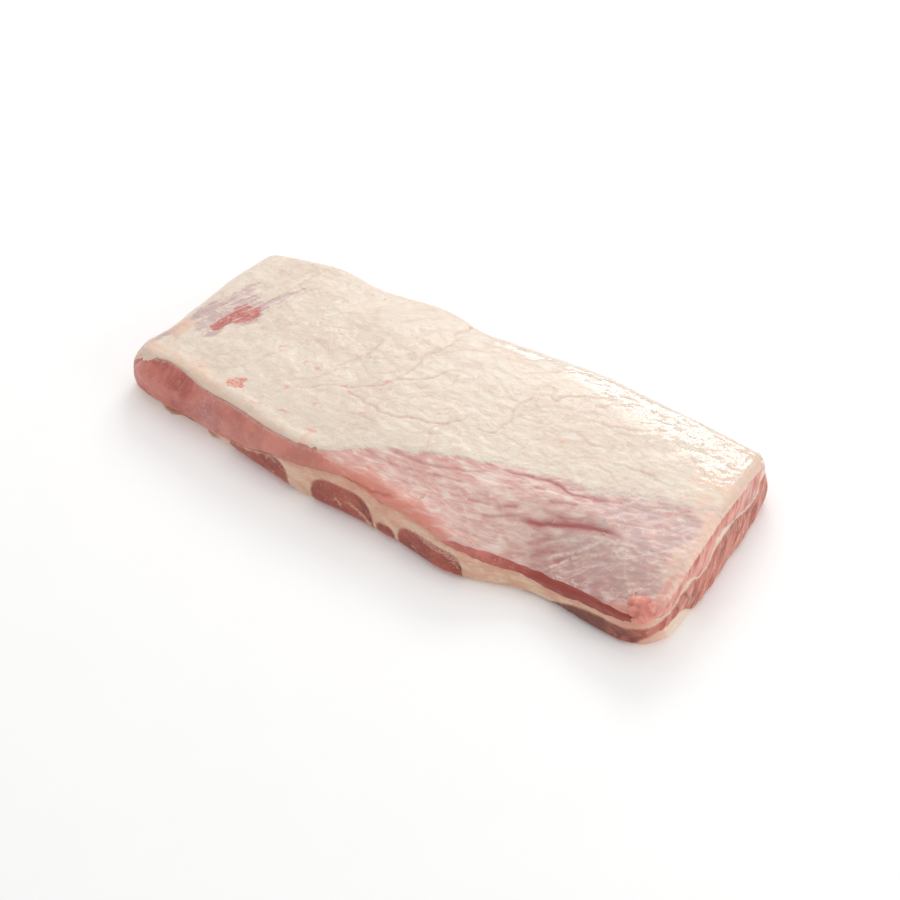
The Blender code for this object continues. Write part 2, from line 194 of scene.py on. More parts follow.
def slab_point(a, b, height):
    """Where the block's point goes, in mm. a is -1 to 1 along, b is -1 to 1 across, height is 0 to 1."""
    x, front, back, from_left, from_right, from_front, from_back = edges_at(a, b)
    bottom, top = height_limits(x, from_left, from_right, from_front, from_back)
    length, width = from_left + from_right, back - front
    low, high = height_limits(x, from_left, from_right, 0, width)
    front_in = wall_inset(height, high - low, along(FRONT_TOP_R, x), along(FRONT_BOTTOM_R, x))
    low, high = height_limits(x, from_left, from_right, width, 0)
    back_in = wall_inset(height, high - low, BACK_TOP_R, BACK_BOTTOM_R)
    low, high = height_limits(x - from_left, 0, length, from_front, from_back)
    left_in = wall_inset(height, high - low, LEFT_TOP_R, LEFT_BOTTOM_R)
    low, high = height_limits(x + from_right, length, 0, from_front, from_back)
    right_in = wall_inset(height, high - low, RIGHT_TOP_R, RIGHT_BOTTOM_R)
    right_in = right_in + along(RIGHT_LEAN, b) * height**1.5
    front_in = front_in + round_over(from_left, FRONT_LEFT_R) + round_over(from_right, FRONT_RIGHT_R)
    back_in = back_in + round_over(from_left, BACK_LEFT_R) + round_over(from_right, BACK_RIGHT_R)
    left_in = left_in + round_over(from_front, FRONT_LEFT_R) + round_over(from_back, BACK_LEFT_R)
    right_in = right_in + round_over(from_front, FRONT_RIGHT_R) + round_over(from_back, BACK_RIGHT_R)
    x = x + left_in * (1 - a) / 2 - right_in * (1 + a) / 2
    y = mix(front + front_in, back - back_in, (1 + b) / 2)
    return np.stack([x, y, mix(bottom, top, height)], -1)


# %% The slab's middle
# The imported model's origin is the middle of its box, on the ground, so the stations are shifted to fit
# that box.
A, B, H = np.meshgrid(np.linspace(-1, 1, 121), np.linspace(-1, 1, 41), np.linspace(0, 1, 9), indexing="ij")
rim_points = slab_point(A.ravel(), B.ravel(), H.ravel())
drawn_low, drawn_high = rim_points.min(0), rim_points.max(0)
packed_low, packed_high = np.array(CAD_BOX[0]) / MM, np.array(CAD_BOX[1]) / MM
CENTRE = (drawn_low + drawn_high) / 2 - (packed_low + packed_high) / 2
CENTRE[2] = drawn_low[2] - packed_low[2]
print("shift to the packed model, mm:", CENTRE.round(2))
print("size differs by, mm:", (drawn_high - drawn_low - packed_high + packed_low).round(2))

# %% [markdown]
# ## Uneven by nature
#
# Nothing on meat is regular, so most of its relief comes from noise: soft random lumps of a chosen
# size. Blender's own noise gives one value at a time. This version works on whole arrays, and its table
# is seeded, so that every run makes the same slab.

# %% Soft noise
rng = np.random.default_rng(41)
SHUFFLED = np.tile(rng.permutation(256), 2)
DIRECTIONS = rng.normal(size=(256, 3))
DIRECTIONS /= np.linalg.norm(DIRECTIONS, axis=1, keepdims=True)


def noise(points, size, seed=0):
    """Lumps from about -1 to 1. size is a lump's size in millimetres, one number or one for each axis."""
    places = points / np.broadcast_to(np.asarray(size, float), 3) + seed * 17.31
    cell = np.floor(places).astype(np.int64)
    inside = places - cell
    fade = inside**3 * (inside * (inside * 6 - 15) + 10)
    total = np.zeros(len(points))
    for corner in product((0, 1), repeat=3):
        x, y, z = ((cell + corner) & 255).T
        lean = DIRECTIONS[SHUFFLED[SHUFFLED[SHUFFLED[x] + y] + z]]
        weight = np.prod(np.where(corner, fade, 1 - fade), axis=1)
        total += weight * np.einsum("ij,ij->i", lean, inside - corner)
    return total * 1.9


def shaken(points, size, seed, reach):
    """Two lumps of noise for each point, to shake its place in plan. reach is in millimetres."""
    return np.stack([noise(points, size, seed), noise(points, size, seed + 1)], -1) * reach


def ridges(points, size, seed, sharpness=6):
    """Thin raised lines, 0 to 1, where soft noise changes sign."""
    return np.clip(1 - np.abs(noise(points, size, seed)), 0, 1) ** sharpness


# %% [markdown]
# ## Where the layers meet
#
# The fat thins to nothing at its rim, the muscle's underside waves up and down, and the strips of rib
# meat stand like low arches under it. These functions give each boundary as a share of the slab's local
# height, which is what the bend expects.

# %% Layer boundaries
def ragged(x, y, size, seed):
    """How far a torn edge strays from its line, in millimetres."""
    x, y = np.broadcast_arrays(x, y)
    places = np.column_stack([x.ravel(), y.ravel(), 0 * x.ravel()])
    return (noise(places, size, seed) + 0.5 * noise(places, size / 2.2, seed + 1)).reshape(x.shape)


def share_of_height(a, b, z):
    x, _, _, from_left, from_right, from_front, from_back = edges_at(a, b)
    bottom, top = height_limits(x, from_left, from_right, from_front, from_back)
    return (z - bottom) / (top - bottom), top


def row_place(a, row):
    """The b of a row: rows -1 to 0 run from the front side to the fat's rim, rows 0 to 1 from there back."""
    x = plan_x(a, 0.0)
    front, back = along(FRONT_EDGE, x), along(BACK_EDGE, x)
    rim = 2 * (along(COVER_RIM, x) - front) / (back - front) - 1
    return np.where(row < 0, mix(-1, rim, row + 1), mix(rim, 1, row))


def cover_thickness(a, b, row):
    x, front, _, from_left, from_right, from_front, _ = edges_at(a, b)
    fat = mix(FAT_THICK, FAT_THICK_AT_BACK, smooth_step(b))
    fat = mix(FAT_THICK_AT_LEFT, fat, smooth_step(from_left / LEFT_TAPER))
    fat = mix(FAT_THICK_AT_RIGHT, fat, smooth_step(from_right / RIGHT_TAPER))
    fat = fat + 0.9 * ragged(x, front + from_front, 7.0, 71) * (1 - smooth_step(from_right / 12))
    behind = from_front + front - along(COVER_RIM, x)
    return np.where(row < 0, 0.0, mix(FAT_THICK_AT_RIM, fat, smooth_step(behind / along(RIM_RISE, x))))


def under_cover(a, b, row):
    _, top = share_of_height(a, b, 0)
    thickness = cover_thickness(a, b, row)
    return np.where(row <= 0, 1.0, share_of_height(a, b, top - thickness)[0])


def cover_level(a, b):
    """The level of the fat's underside behind its rim, in millimetres."""
    return share_of_height(a, b, 0)[1] - cover_thickness(a, b, 1.0)


def seam_level(a, b):
    """The height of the upper muscle's underside, in millimetres."""
    x, front, _, _, from_right, from_front, _ = edges_at(a, b)
    waves = along(SEAM_WAVES, front + from_front) * (1 - smooth_step(from_right / WAVE_REACH))
    waves = waves + 0.8 * ragged(x, front + from_front, 6.0, 73)
    at_front = along(SEAM_AT_FRONT, x) + 0.7 * ragged(x, 0 * x, 5.0, 75)
    return mix(along(SEAM_INSIDE, x) + waves, at_front, 1 - smooth_step(from_front / SEAM_REACH))


def seam_share(a, b):
    return share_of_height(a, b, seam_level(a, b))[0]


def strip_span(strip):
    """Where a strip starts and ends, as values of a."""
    start, end = LEFT_END[2][1], RIGHT_END[1][1]
    return [1.0 if x is None else round(2 * (x - start) / (end - start) - 1, 7) for x in strip[:2]]


def strip_roof(strip, a, b):
    """The level of a strip's domed top, in millimetres."""
    start, end = strip_span(strip)
    if strip[1] is None:
        across = np.maximum(0.0, 1 - (a - start) / (LAST_SHOULDER * (end - start)))
    else:
        across = np.abs(2 * (a - start) / (end - start) - 1)
    at_front = strip[2] if strip[1] else along(LAST_AT_FRONT, plan_x(a, b))
    height = mix(strip[3], at_front, 1 - smooth_step(edges_at(a, b)[5] / RIB_REACH))
    dome = height * np.maximum(0.0, 1 - across**DOME) ** (1 / DOME)
    return np.minimum(dome, seam_level(a, b) - SEAM_THIN)


def strips_share(a, b):
    """The underside of the seam fat: the ground, arched over each strip of rib meat."""
    level = np.zeros(np.broadcast(a, b).shape)
    for strip in RIB_MEAT:
        start, end = strip_span(strip)
        inside = (a > start) & ((a < end) | (end == 1.0))
        level = np.where(inside, np.maximum(level, strip_roof(strip, a, b)), level)
    return np.maximum(0.0, share_of_height(a, b, level)[0])


def lobe_share(a, b):
    _, front, _, _, from_right, from_front, _ = edges_at(a, b)
    place = front + from_front
    inside = (place > LOBE[0][0]) & (place < LOBE[-1][0])
    height = np.where(inside, along(LOBE, place), 0.0) * (1 - smooth_step(from_right / LOBE_REACH))
    return np.maximum(0.0, share_of_height(a, b, height)[0])


def slab_level(a, b, share):
    """The height in millimetres of a share of the slab's local height."""
    x, _, _, from_left, from_right, from_front, from_back = edges_at(a, b)
    return mix(*height_limits(x, from_left, from_right, from_front, from_back), share)


# %% [markdown]
# ## A mesh for each layer
#
# A layer is the skin of a block of cells. The sides that show are cut about every millimetre, so that
# folds and dents are real shape. The sides that lie against the next layer are cut coarsely, and their
# outer faces take in all the fine points of the border, so that each layer stays one closed body.

# %% Patches of a block
STEP = 1.1
print("cell size on the sides that show:", STEP, "mm")


def patch_faces(keys, keep_u, keep_v, turned):
    """Faces over a grid of corner numbers. keep_u and keep_v are the lines that are kept inside it."""
    if len(keep_u) == keys.shape[0] and len(keep_v) == keys.shape[1]:
        quads = np.stack([keys[:-1, :-1], keys[1:, :-1], keys[1:, 1:], keys[:-1, 1:]], -1).reshape(-1, 4)
        return list(quads[:, ::-1] if turned else quads)
    faces = []
    last_u, last_v = keys.shape[0] - 1, keys.shape[1] - 1
    for u0, u1 in zip(keep_u[:-1], keep_u[1:]):
        for v0, v1 in zip(keep_v[:-1], keep_v[1:]):
            low = keys[u0 : u1 + 1, v0] if v0 == 0 else keys[[u0, u1], v0]
            high = keys[u0 : u1 + 1, v1] if v1 == last_v else keys[[u0, u1], v1]
            first = keys[u0, v0 : v1 + 1] if u0 == 0 else keys[u0, [v0, v1]]
            last = keys[u1, v0 : v1 + 1] if u1 == last_u else keys[u1, [v0, v1]]
            ring = [*low, *last[1:], *high[::-1][1:], *first[::-1][1:-1]]
            faces.append(ring[::-1] if turned else ring)
    return faces


def every(count, step):
    """Line numbers from 0 to count, one in so many."""
    return sorted(set(range(0, count + 1, max(1, step))) | {count})


# %% [markdown]
# ## The places on the surface that matter
#
# Butchers' cuts, veins and tendons leave long creases in the fat and folds in the lean. They are drawn
# as lines in the slab's plan. Each has a depth and a width, and the distance of every point of the mesh
# to the line gives its groove. The same distance also tints the colour there, because shape and colour
# belong together.

# %% Creases, folds and veins
# Points in plan, then how deep and how wide in millimetres.
FAT_CREASES = [
    ([(-131, -35), (-123, -30), (-105, -15), (-85, -6), (-76, 1), (-66, 10), (-59, 20), (-44, 30), (-30, 52),
      (-22, 55)], 1.0, 1.2),
    ([(-66, 10), (-60, 32), (-59, 57), (-53, 82), (-51, 100)], 0.9, 1.2),
    ([(-58, 50), (-56, 56), (-42, 77), (-25, 89)], 0.6, 1.1),
    ([(-95, -10), (-77, -16), (-44, -21), (-25, -15), (-6, -10), (7, 4), (13, 14)], 1.1, 1.2),
    ([(14, 2), (25, 2), (36, 5), (39, 23), (37, 42), (40, 64)], 0.9, 1.1),
    ([(-6, -11), (-3, -26), (3, -38)], 0.6, 0.8),
    ([(-24, 29), (-22, 54)], 0.5, 1.0),
    ([(17, 76), (37, 97), (51, 108), (67, 113), (87, 113)], 0.7, 1.2),
    ([(43, 84), (58, 59)], 0.5, 1.0),
    ([(56, 61), (63, 75), (85, 88), (104, 98)], 0.8, 1.3),
    ([(89, 76), (99, 87), (116, 102)], 0.7, 1.1),
    ([(44, 33), (66, 36)], 0.6, 1.1),
    ([(66, -6), (64, 12)], 0.5, 0.9),
    ([(-101, 85), (-88, 101), (-77, 112)], 0.6, 1.2),
    ([(-100, 29), (-76, 43)], 0.5, 1.1),
    ([(-116, 2), (-106, 23), (-101, 36), (-103, 59)], 0.6, 1.4),
    ([(-175, -28), (-168, -10), (-160, 7)], 0.6, 1.6),
    ([(174, 67), (196, 52)], 0.8, 1.0),
    ([(89, 42), (105, 36), (115, 40)], 0.8, 1.4),
    ([(121, 19), (144, 13)], 0.6, 1.2),
    ([(-59, 94), (-56, 104), (-53, 113), (-52, 122)], 1.4, 1.5),
    ([(-215, 40), (-209, 66), (-204, 96), (-200, 112)], 0.5, 1.4),
    ([(-205, 44), (-198, 62), (-192, 84)], 0.4, 1.3),
    ([(-150, -40), (-128, -22), (-112, -2), (-104, 16)], 0.5, 1.2),
    ([(-90, -40), (-66, -34), (-40, -36)], 0.5, 1.2),
    ([(-20, 70), (6, 60), (24, 48), (52, 44)], 0.5, 1.1),
    ([(70, 48), (94, 60), (120, 66), (150, 84)], 0.5, 1.2),
    ([(96, 10), (118, 24), (150, 30), (176, 28)], 0.5, 1.3),
]
LEAN_FOLDS = [
    ([(99, -58), (112, -52), (126, -46), (141, -41), (155, -38), (170, -36)], 1.3, 2.3),
    ([(60, -27), (80, -23), (104, -17), (122, -20), (146, -11)], 1.0, 1.6),
    ([(-24, -50), (-1, -52), (22, -48), (44, -40), (60, -30)], 0.6, 1.8),
    ([(58, -57), (64, -55), (70, -53)], 0.6, 1.6),
    ([(56, -64), (66, -61), (76, -58)], 0.7, 1.8),
    ([(79, -58), (86, -54), (93, -50)], 0.7, 1.6),
    ([(72, -71), (84, -63), (97, -56)], 0.7, 1.6),
    ([(94, -29), (99, -28), (103, -26)], 0.8, 1.8),
    ([(110, -36), (120, -31), (131, -27)], 0.8, 1.8),
    ([(121, -43), (131, -39), (142, -36)], 0.7, 1.8),
    ([(136, -18), (147, -12), (160, -5)], 0.7, 1.6),
    ([(112, -66), (119, -61), (127, -57)], 0.6, 2.4),
    ([(134, -72), (144, -65), (154, -58), (164, -54)], 0.9, 1.8),
    ([(116, -74), (126, -66), (134, -62)], 0.7, 2.2),
    ([(-36, -62), (-14, -63), (6, -60)], 0.5, 1.5),
    ([(20, -56), (34, -54), (46, -52)], 0.5, 1.3),
]
MEMBRANE_LINES = [
    ([(150, -52), (160, -47), (167, -43), (176, -50), (184, -52), (199, -40), (216, -27)], 0.9, 0.9),
    ([(129, -93), (142, -72), (165, -54)], 0.5, 0.8),
    ([(142, -94), (153, -77), (168, -60)], 0.5, 0.8),
    ([(-3, -69), (22, -70), (42, -68), (66, -72)], 0.4, 0.9),
    ([(94, -94), (104, -88), (116, -85)], 0.8, 1.0),
    ([(196, -86), (202, -72), (212, -60), (216, -44)], 0.5, 0.8),
    ([(30, -46), (50, -62), (66, -78), (80, -90)], 0.35, 0.8),
    ([(64, -40), (82, -56), (98, -74)], 0.35, 0.8),
    ([(-10, -58), (12, -72), (30, -84)], 0.35, 0.8),
    ([(180, -40), (188, -58), (204, -76)], 0.5, 0.8),
    ([(131, -68), (145, -60), (158, -49)], 1.3, 1.4),
    ([(132, -78), (141, -69), (150, -60), (168, -53)], 1.3, 1.4),
    ([(157, -44), (168, -44), (179, -46), (168, -50)], 1.2, 2.0),
    ([(120, -63), (133, -55), (151, -50)], 0.5, 1.0),
    ([(146, -77), (154, -70), (163, -64), (174, -60)], 0.5, 1.0),
]


def stroke(points):
    """A smooth line through a few points, cut into short pieces."""
    knots = np.array(points, float)
    reach = np.concatenate([[0], np.cumsum(np.linalg.norm(np.diff(knots, axis=0), axis=1))])
    places = np.linspace(0, reach[-1], max(3, int(reach[-1] / 3)))
    return np.stack([along(list(zip(reach, knots[:, k])), places) for k in (0, 1)], -1)


def groove(plan, points, width):
    """1 on the line, falling to 0 over its width, and fading towards its two ends."""
    path = stroke(points)
    found = np.zeros(len(plan))
    near = np.all((plan > path.min(0) - 5 * width) & (plan < path.max(0) + 5 * width), axis=1)
    spots = plan[near]
    best, place = np.full(len(spots), 1e9), np.zeros(len(spots))
    for k, (start, end) in enumerate(zip(path[:-1], path[1:])):
        way = end - start
        t = np.clip(((spots - start) @ way) / (way @ way), 0, 1)
        gap = np.linalg.norm(spots - start - t[:, None] * way, axis=1)
        place = np.where(gap < best, (k + t) / (len(path) - 1), place)
        best = np.minimum(best, gap)
    fade = smooth_step(place / 0.14) * smooth_step((1 - place) / 0.14)
    found[near] = np.exp(-((best / width) ** 1.6)) * mix(0.25, 1, fade)
    return found


def strokes(plan, lines, widen=1.0):
    """All the lines together: the depth of each groove, added up."""
    return sum(depth * groove(plan, points, width * widen) for points, depth, width in lines)


# %% Patches of another colour
def spot(plan, centre, long, short, angle):
    """1 inside an ellipse in plan, fading to 0 outside it."""
    turn = math.radians(angle)
    x, y = (plan - centre).T
    u, v = x * math.cos(turn) + y * math.sin(turn), y * math.cos(turn) - x * math.sin(turn)
    return 1 - smooth_step((np.hypot(u / long, v / short) - 0.5) / 0.9)


# Centre in plan, half its length, half its width, the angle it lies at.
RED_WINDOW = [((-221, 23), 15, 11.5, 72), ((-229, 4), 12, 6.5, 76)]
SILVER = [((-252, 12), 28, 8, 80), ((-238, 4), 22, 9, 70), ((-229, 36), 18, 9, 70), ((-240, 46), 22, 6, 84),
          ((-212, 44), 22, 6, 66), ((-264, -32), 18, 6, 78), ((-203, 66), 22, 3, 70),
          ((-228, -10), 10, 6, 70), ((-214, 22), 16, 10, 70)]
SALMON = [((-171, -51), 9, 4.5, 40), ((-166, -55), 5, 3, 20)]
BLUSHES = [((-133, 104), 3, 1.3, 60), ((-103, 106), 1.5, 1.2, 0), ((-166, 2), 6, 1.2, 66),
           ((-138, -3), 3, 1.6, 30), ((-124, -5), 4, 1.6, 20), ((-131, -35), 2.4, 2.0, 0),
           ((-62, -29), 3.5, 1.5, 10), ((-95, -10), 5, 2.0, 60), ((-85, -15), 3, 2, 0),
           ((-142, -63), 6, 1.6, 30), ((-206, -50), 5, 1.6, 20), ((-52, 116), 5, 3, 80),
           ((-100, -40), 4, 2, 50), ((-66, 12), 5, 2.2, 30), ((-118, -58), 6, 1.6, 24),
           ((-88, -66), 7, 2.0, 10)]
AMBER = [((86, 26), 4, 1.8, 10), ((173, 42), 1.3, 1.3, 0), ((75, 56), 2.4, 1.4, 0), ((-60, 4), 2.4, 1.4, 0)]
FLUSH = [((225, -62), 26, 6, 82), ((206, -87), 14, 5, 8), ((222, -78), 10, 8, 0)]
# How strong the ruddy tint of the front edge is along the slab.
RUDDY_EDGE = [(-95, 0), (-80, 0.5), (-60, 0.85), (-40, 0.95), (-8, 1.1), (20, 0.95), (45, 0.8), (64, 0.4),
              (90, 0)]
# The height that the cut meat reaches along the front where it sinks away under the lean.
CUT_TOP = [(-95, 50), (-80, 46.5), (-70, 45.5), (-61, 44.3), (-47, 42.2), (-38, 41), (-28, 38.5), (-18, 35),
           (0, 32), (60, 28)]
# The height down to which the fat folds over the left front corner.
CORNER_FOLD = [(-282, 24), (-276, 27), (-268, 32.5), (-262, 36), (-254, 40), (-248, 44), (-244, 50)]
# How far the cut meat reaches onto the top, farther right.
BAND_REACH = [(50, -3), (70, 3), (80, 5), (93, 7.5), (108, 7), (124, 4.5), (142, 2.5), (160, 2.5), (180, 1),
              (200, 0.5)]
PEACH = [((206, 66), 44, 22, 100), ((216, 30), 30, 14, 110), ((-258, -54), 30, 13, -10),
         ((-200, -64), 46, 12, -14), ((-136, -78), 56, 10, -8), ((228, 96), 16, 8, 100),
         ((222, -20), 34, 8, 84)]
HAZE = [((188, -16), 52, 34, 20), ((176, -62), 44, 30, 10), ((150, 0), 40, 12, 20)]
# On the front side, in x and z: cream veins in two strips, folds in painted shade, and a frosted top.
VEINS = [([(-47, 18), (-43, 16), (-40, 11)], 1.0, 0.9),
         ([(-34, 19), (-26, 15), (-20, 11), (-14, 8), (-6, 6)], 1.0, 1.0),
         ([(-118, 20), (-112, 24), (-104, 22)], 0.8, 0.7), ([(-104, 9), (-100, 6), (-99, 3)], 1.0, 0.8)]
DARK_FOLD = [([(-24, 28), (-20, 25), (-18, 20), (-19, 14)], 1.0, 1.0),
             ([(-18, 26), (-13, 21), (-11, 14), (-13, 9)], 1.0, 1.1),
             ([(-42, 39.5), (-32, 39), (-22, 38.6), (-12, 38.4), (-2, 39.6), (6, 41)], 1.0, 0.9)]
# On the right end, in y and z: the slits where bundles part, in painted shade.
SLIT = [([(-49, 34), (-46, 29), (-43, 22), (-46, 15)], 1.0, 1.0),
        ([(-60, 25), (-57, 21), (-59, 16)], 0.7, 0.8),
        ([(10, 26), (14, 20), (12, 12)], 0.6, 0.8), ([(58, 34), (62, 27), (60, 20)], 0.6, 0.8)]
FROST = [((52, 24), 22, 4.5, -6), ((66, 21), 12, 4, -20), ((10, 16), 5, 2, 0)]
WET = [((168, 92), 84, 22, -10), ((206, 76), 34, 22, 80), ((84, 106), 50, 12, -8), ((0, 112), 50, 8, 0)]
SHEEN = [((150, 84), 130, 40, -8), ((30, 84), 110, 30, 0), ((-240, 0), 40, 26, 66)]


def spots(plan, places):
    return np.clip(sum(spot(plan, *place) for place in places), 0, 1)


# %% [markdown]
# ## Relief and colour guides
#
# `relief` moves every point of the skin a little in or out along its normal. Broad swells come first,
# then ripples and fine wrinkles, then the drawn creases. `guides` leaves numbers on the points, such as
# how bare the lean is or how deep a crease lies. The materials read those numbers, so paint and shape
# stay together.

# %% How far the skin moves
def rim_distance(x, y):
    """How far in front of the fat's rim a place lies, in millimetres; behind the rim it is negative."""
    slope = (along(COVER_RIM, x + 1) - along(COVER_RIM, x - 1)) / 2
    return (along(COVER_RIM, x) - y) / np.sqrt(1 + slope**2)


def ahead_of_rim(a, b):
    """The same for a place of the block, so that it follows the layers round the slab's corners."""
    x, front, _, _, _, from_front, _ = edges_at(a, b)
    return rim_distance(x, front + from_front)


def outline_distance(a, z, b_side):
    """The distance to the nearest arch of rib meat on the slab's front or back side."""
    best = np.full(len(a), 1e3)
    places = np.column_stack([plan_x(a, b_side), z])
    for strip in RIB_MEAT:
        start, end = strip_span(strip)
        stations = mix(start, end, (1 - np.cos(math.pi * np.linspace(0, 1, 240))) / 2)
        outline = np.stack([plan_x(stations, b_side), strip_roof(strip, stations, b_side)], -1)
        near = np.flatnonzero((places[:, 0] > outline[0, 0] - 12) & (places[:, 0] < outline[-1, 0] + 12))
        for piece in np.array_split(near, len(near) // 20000 + 1):
            gaps = np.linalg.norm(places[piece][:, None] - outline[None], axis=2)
            best[piece] = np.minimum(best[piece], gaps.min(1))
    return best


def arch_distance(a, b, z):
    """The distance to the nearest border of a strip of rib meat, anywhere on the skin."""
    found = np.full(len(a), 1e3)
    x = plan_x(a, b)
    for strip in RIB_MEAT:
        start, end = strip_span(strip)
        inside = (a > start) & (a <= end)
        found = np.where(inside, np.minimum(found, np.abs(z - strip_roof(strip, a, b))), found)
        for side in (start, end):
            if side < 1.0:
                found = np.minimum(found, np.hypot(x - plan_x(side, b), np.maximum(0, z - 3)))
    for side in (-1.0, 1.0):
        on_side = np.abs(b - side) < 1e-6
        found[on_side] = outline_distance(a[on_side], z[on_side], side)
    return found


def border_distance(a, b, z, points):
    """How far each point of the skin lies from the nearest seam, and from the nearest strip."""
    seam = np.abs(z - seam_level(a, b))
    rim = row_place(a, 0.0)
    cover = np.where(b > rim + 0.004, np.abs(z - cover_level(a, b)), 1e3)
    lobe = np.abs(z - slab_level(a, b, lobe_share(a, b)))
    lobe = np.where((points[:, 0] > 216) & (points[:, 1] < -34), lobe, 1e3)
    return np.minimum.reduce([seam, cover, lobe]), arch_distance(a, b, z)


def turned(points, degrees):
    """The points with the plan turned, so that noise can be drawn out in another direction."""
    turn = math.radians(degrees)
    x, y, z = points.T
    return np.stack([x * math.cos(turn) + y * math.sin(turn), y * math.cos(turn) - x * math.sin(turn), z], -1)


# The lines of the lean stray less than those of the fat.
LEAN_WANDER = 0.45


def wrinkle_lines(points):
    """Fine wrinkles of the fat, 0 to 1, in two directions and two sizes."""
    warp = np.column_stack([shaken(points, 13, 14, 4), 0 * points[:, 0]])
    long = ridges(turned(points + warp, 48), (38, 9, 30), 10, 12)
    long = long * np.clip(noise(points, 40, 11) + 0.55, 0, 1)
    cross = ridges(turned(points + warp, -24), (30, 10, 30), 16, 12)
    cross = cross * np.clip(noise(points, 34, 17) + 0.45, 0, 1)
    small = ridges(points + warp, (9, 6, 9), 18, 10) * np.clip(noise(points, 26, 19) + 0.35, 0, 1)
    return np.clip(long + cross * 0.8 + small * 0.5, 0, 1.2)


def line_wander(points):
    """How far the drawn lines stray. The relief and the colour both use it, so that they meet."""
    return shaken(points, 11, 1, 2.2) + shaken(points, 4, 3, 0.5)


def top_relief(points, lean, ahead):
    plan, wander = points[:, :2], line_wander(points)
    bent, smooth = plan + wander, plan + wander * LEAN_WANDER
    swell = 0.9 * noise(points, (80, 60, 60), 5) + 0.55 * noise(points, (34, 20, 24), 6)
    ripple = 0.34 * noise(points, (15, 9, 10), 7) + 0.20 * noise(points, (7, 5, 5), 8)
    rough = spots(plan, [((-172, -8), 70, 42, 30), ((-110, 30), 60, 30, 0)])
    dimples = 0.16 * noise(points, (3.6, 2.8, 3), 9) * mix(0.5, 1.3, rough)
    torn = 0.9 * noise(points, (3.4, 3.0, 3), 40) * lean["rag"]
    creases = 0.75 * strokes(bent, FAT_CREASES) - 0.25 * strokes(bent, FAT_CREASES, 3.2)
    lip = 1.2 * np.exp(-(((ahead + 7) / 7) ** 2)) * (1 - smooth_step((points[:, 0] + 80) / 40))
    lip *= smooth_step((points[:, 0] + 262) / 22)
    sheen_at_right = lean["sheen"] * smooth_step((points[:, 0] - 60) / 80)
    calm = 1 - 0.20 * np.maximum(lean["wet"], 0.6 * sheen_at_right)
    fat = swell + (ripple + dimples - 0.22 * lean["wrinkle"]) * calm - creases + lip + torn
    strands = np.column_stack([lean["grain"][:, 0], lean["grain"][:, 1], points[:, 2]])
    bundles = 0.32 * noise(strands, (16, 6, 9), 12) + 0.16 * noise(strands, (8, 4, 5), 13)
    crumple = 0.22 * ridges(turned(points, 30), (16, 8, 16), 24, 6) * smooth_step((points[:, 0] - 40) / 60)
    folds = 0.8 * strokes(smooth, LEAN_FOLDS) - 0.25 * strokes(smooth, LEAN_FOLDS, 2.6)
    lines = 0.30 * strokes(smooth, MEMBRANE_LINES)
    bare = swell + bundles - crumple - folds + lines - 0.55
    return mix(fat, bare, lean["bare"]) - 0.7 * lean["window"]


def side_relief(points, seam, arch):
    """Soft folds on a cut side. It swells between its seams, draws in at them, and the strips lie flush."""
    swell = 1.1 * noise(points, (30, 26, 18), 20) + 0.45 * noise(points, (12, 12, 8), 21)
    diagonal = points @ np.array([[0.8, 0, -0.6], [0, 1, 0], [0.6, 0, 0.8]]).T
    folds = 0.38 * noise(diagonal, (22, 20, 5), 22) + 0.14 * noise(diagonal, (8, 8, 2.4), 23)
    puff = 0.55 * (1 - np.exp(-((seam / 4) ** 1.5))) - 0.15 * np.exp(-((seam / 1.2) ** 1.5))
    flush = 0.22 * (1 - np.exp(-((arch / 3) ** 1.5)))
    leaning = points @ np.array([[1, 0, 0], [0, 0.8, -0.6], [0, 0.6, 0.8]]).T
    bundles = 0.7 * noise(leaning, (12, 6, 18), 41) * smooth_step((points[:, 0] - 222) / 8)
    return swell + folds + puff + flush + bundles - 0.4


# %% Numbers for the materials
def grain_lines(x, y):
    """Along and across the lean's fibres, which run along the slab and fan out at its right front corner."""
    ahead = np.clip((x - 30) / 60, 0, 1)
    fan = 10 * ahead**2 + 0.34 * np.maximum(0, x - 90)
    fan += 0.5 * np.maximum(0, x - 90) ** 2 / 220 * np.clip((-35 - y) / 60, 0, 1)
    return np.stack([x + 0.5 * (y + 50) * smooth_step((x - 60) / 110), y - fan], -1)


# How wide the border between fat and lean is along the slab: sharp at the left, soft at the right.
FEATHER = [(-284, 0.8), (-80, 1.2), (-30, 4), (60, 7), (110, 14), (170, 24), (236, 28)]


def border_guides(points, ahead):
    """How bare the lean is, and how near its border lies."""
    x = points[:, 0]
    strands = np.column_stack([grain_lines(x, points[:, 1]), points[:, 2]])
    drift = 4.5 * noise(strands, (22, 9, 12), 34) + 2.5 * noise(strands, (9, 3.5, 6), 35)
    drift *= smooth_step((x + 70) / 60)
    return {
        "bare": smooth_step(0.5 + (ahead + drift) / (2 * along(FEATHER, x))) * (1 - corner_fold(points)[0]),
        "near": np.exp(-(((ahead + drift - 6) / 9) ** 2)) * smooth_step((x + 40) / 40),
        "warm": 1 - smooth_step((x - 10) / 90),
    }


def corner_fold(points):
    """Where the fat folds a little way down the left front corner, and what lies below the fold."""
    x, y, z = points.T
    corner = smooth_step((-246 - x) / 4) * (1 - smooth_step((y + 10) / 16))
    level = along(CORNER_FOLD, x) + 14 * smooth_step((y + 44) / 36) + 1.0 * noise(points, (6, 6, 5), 43)
    return corner, smooth_step((level - z) / 1.5)


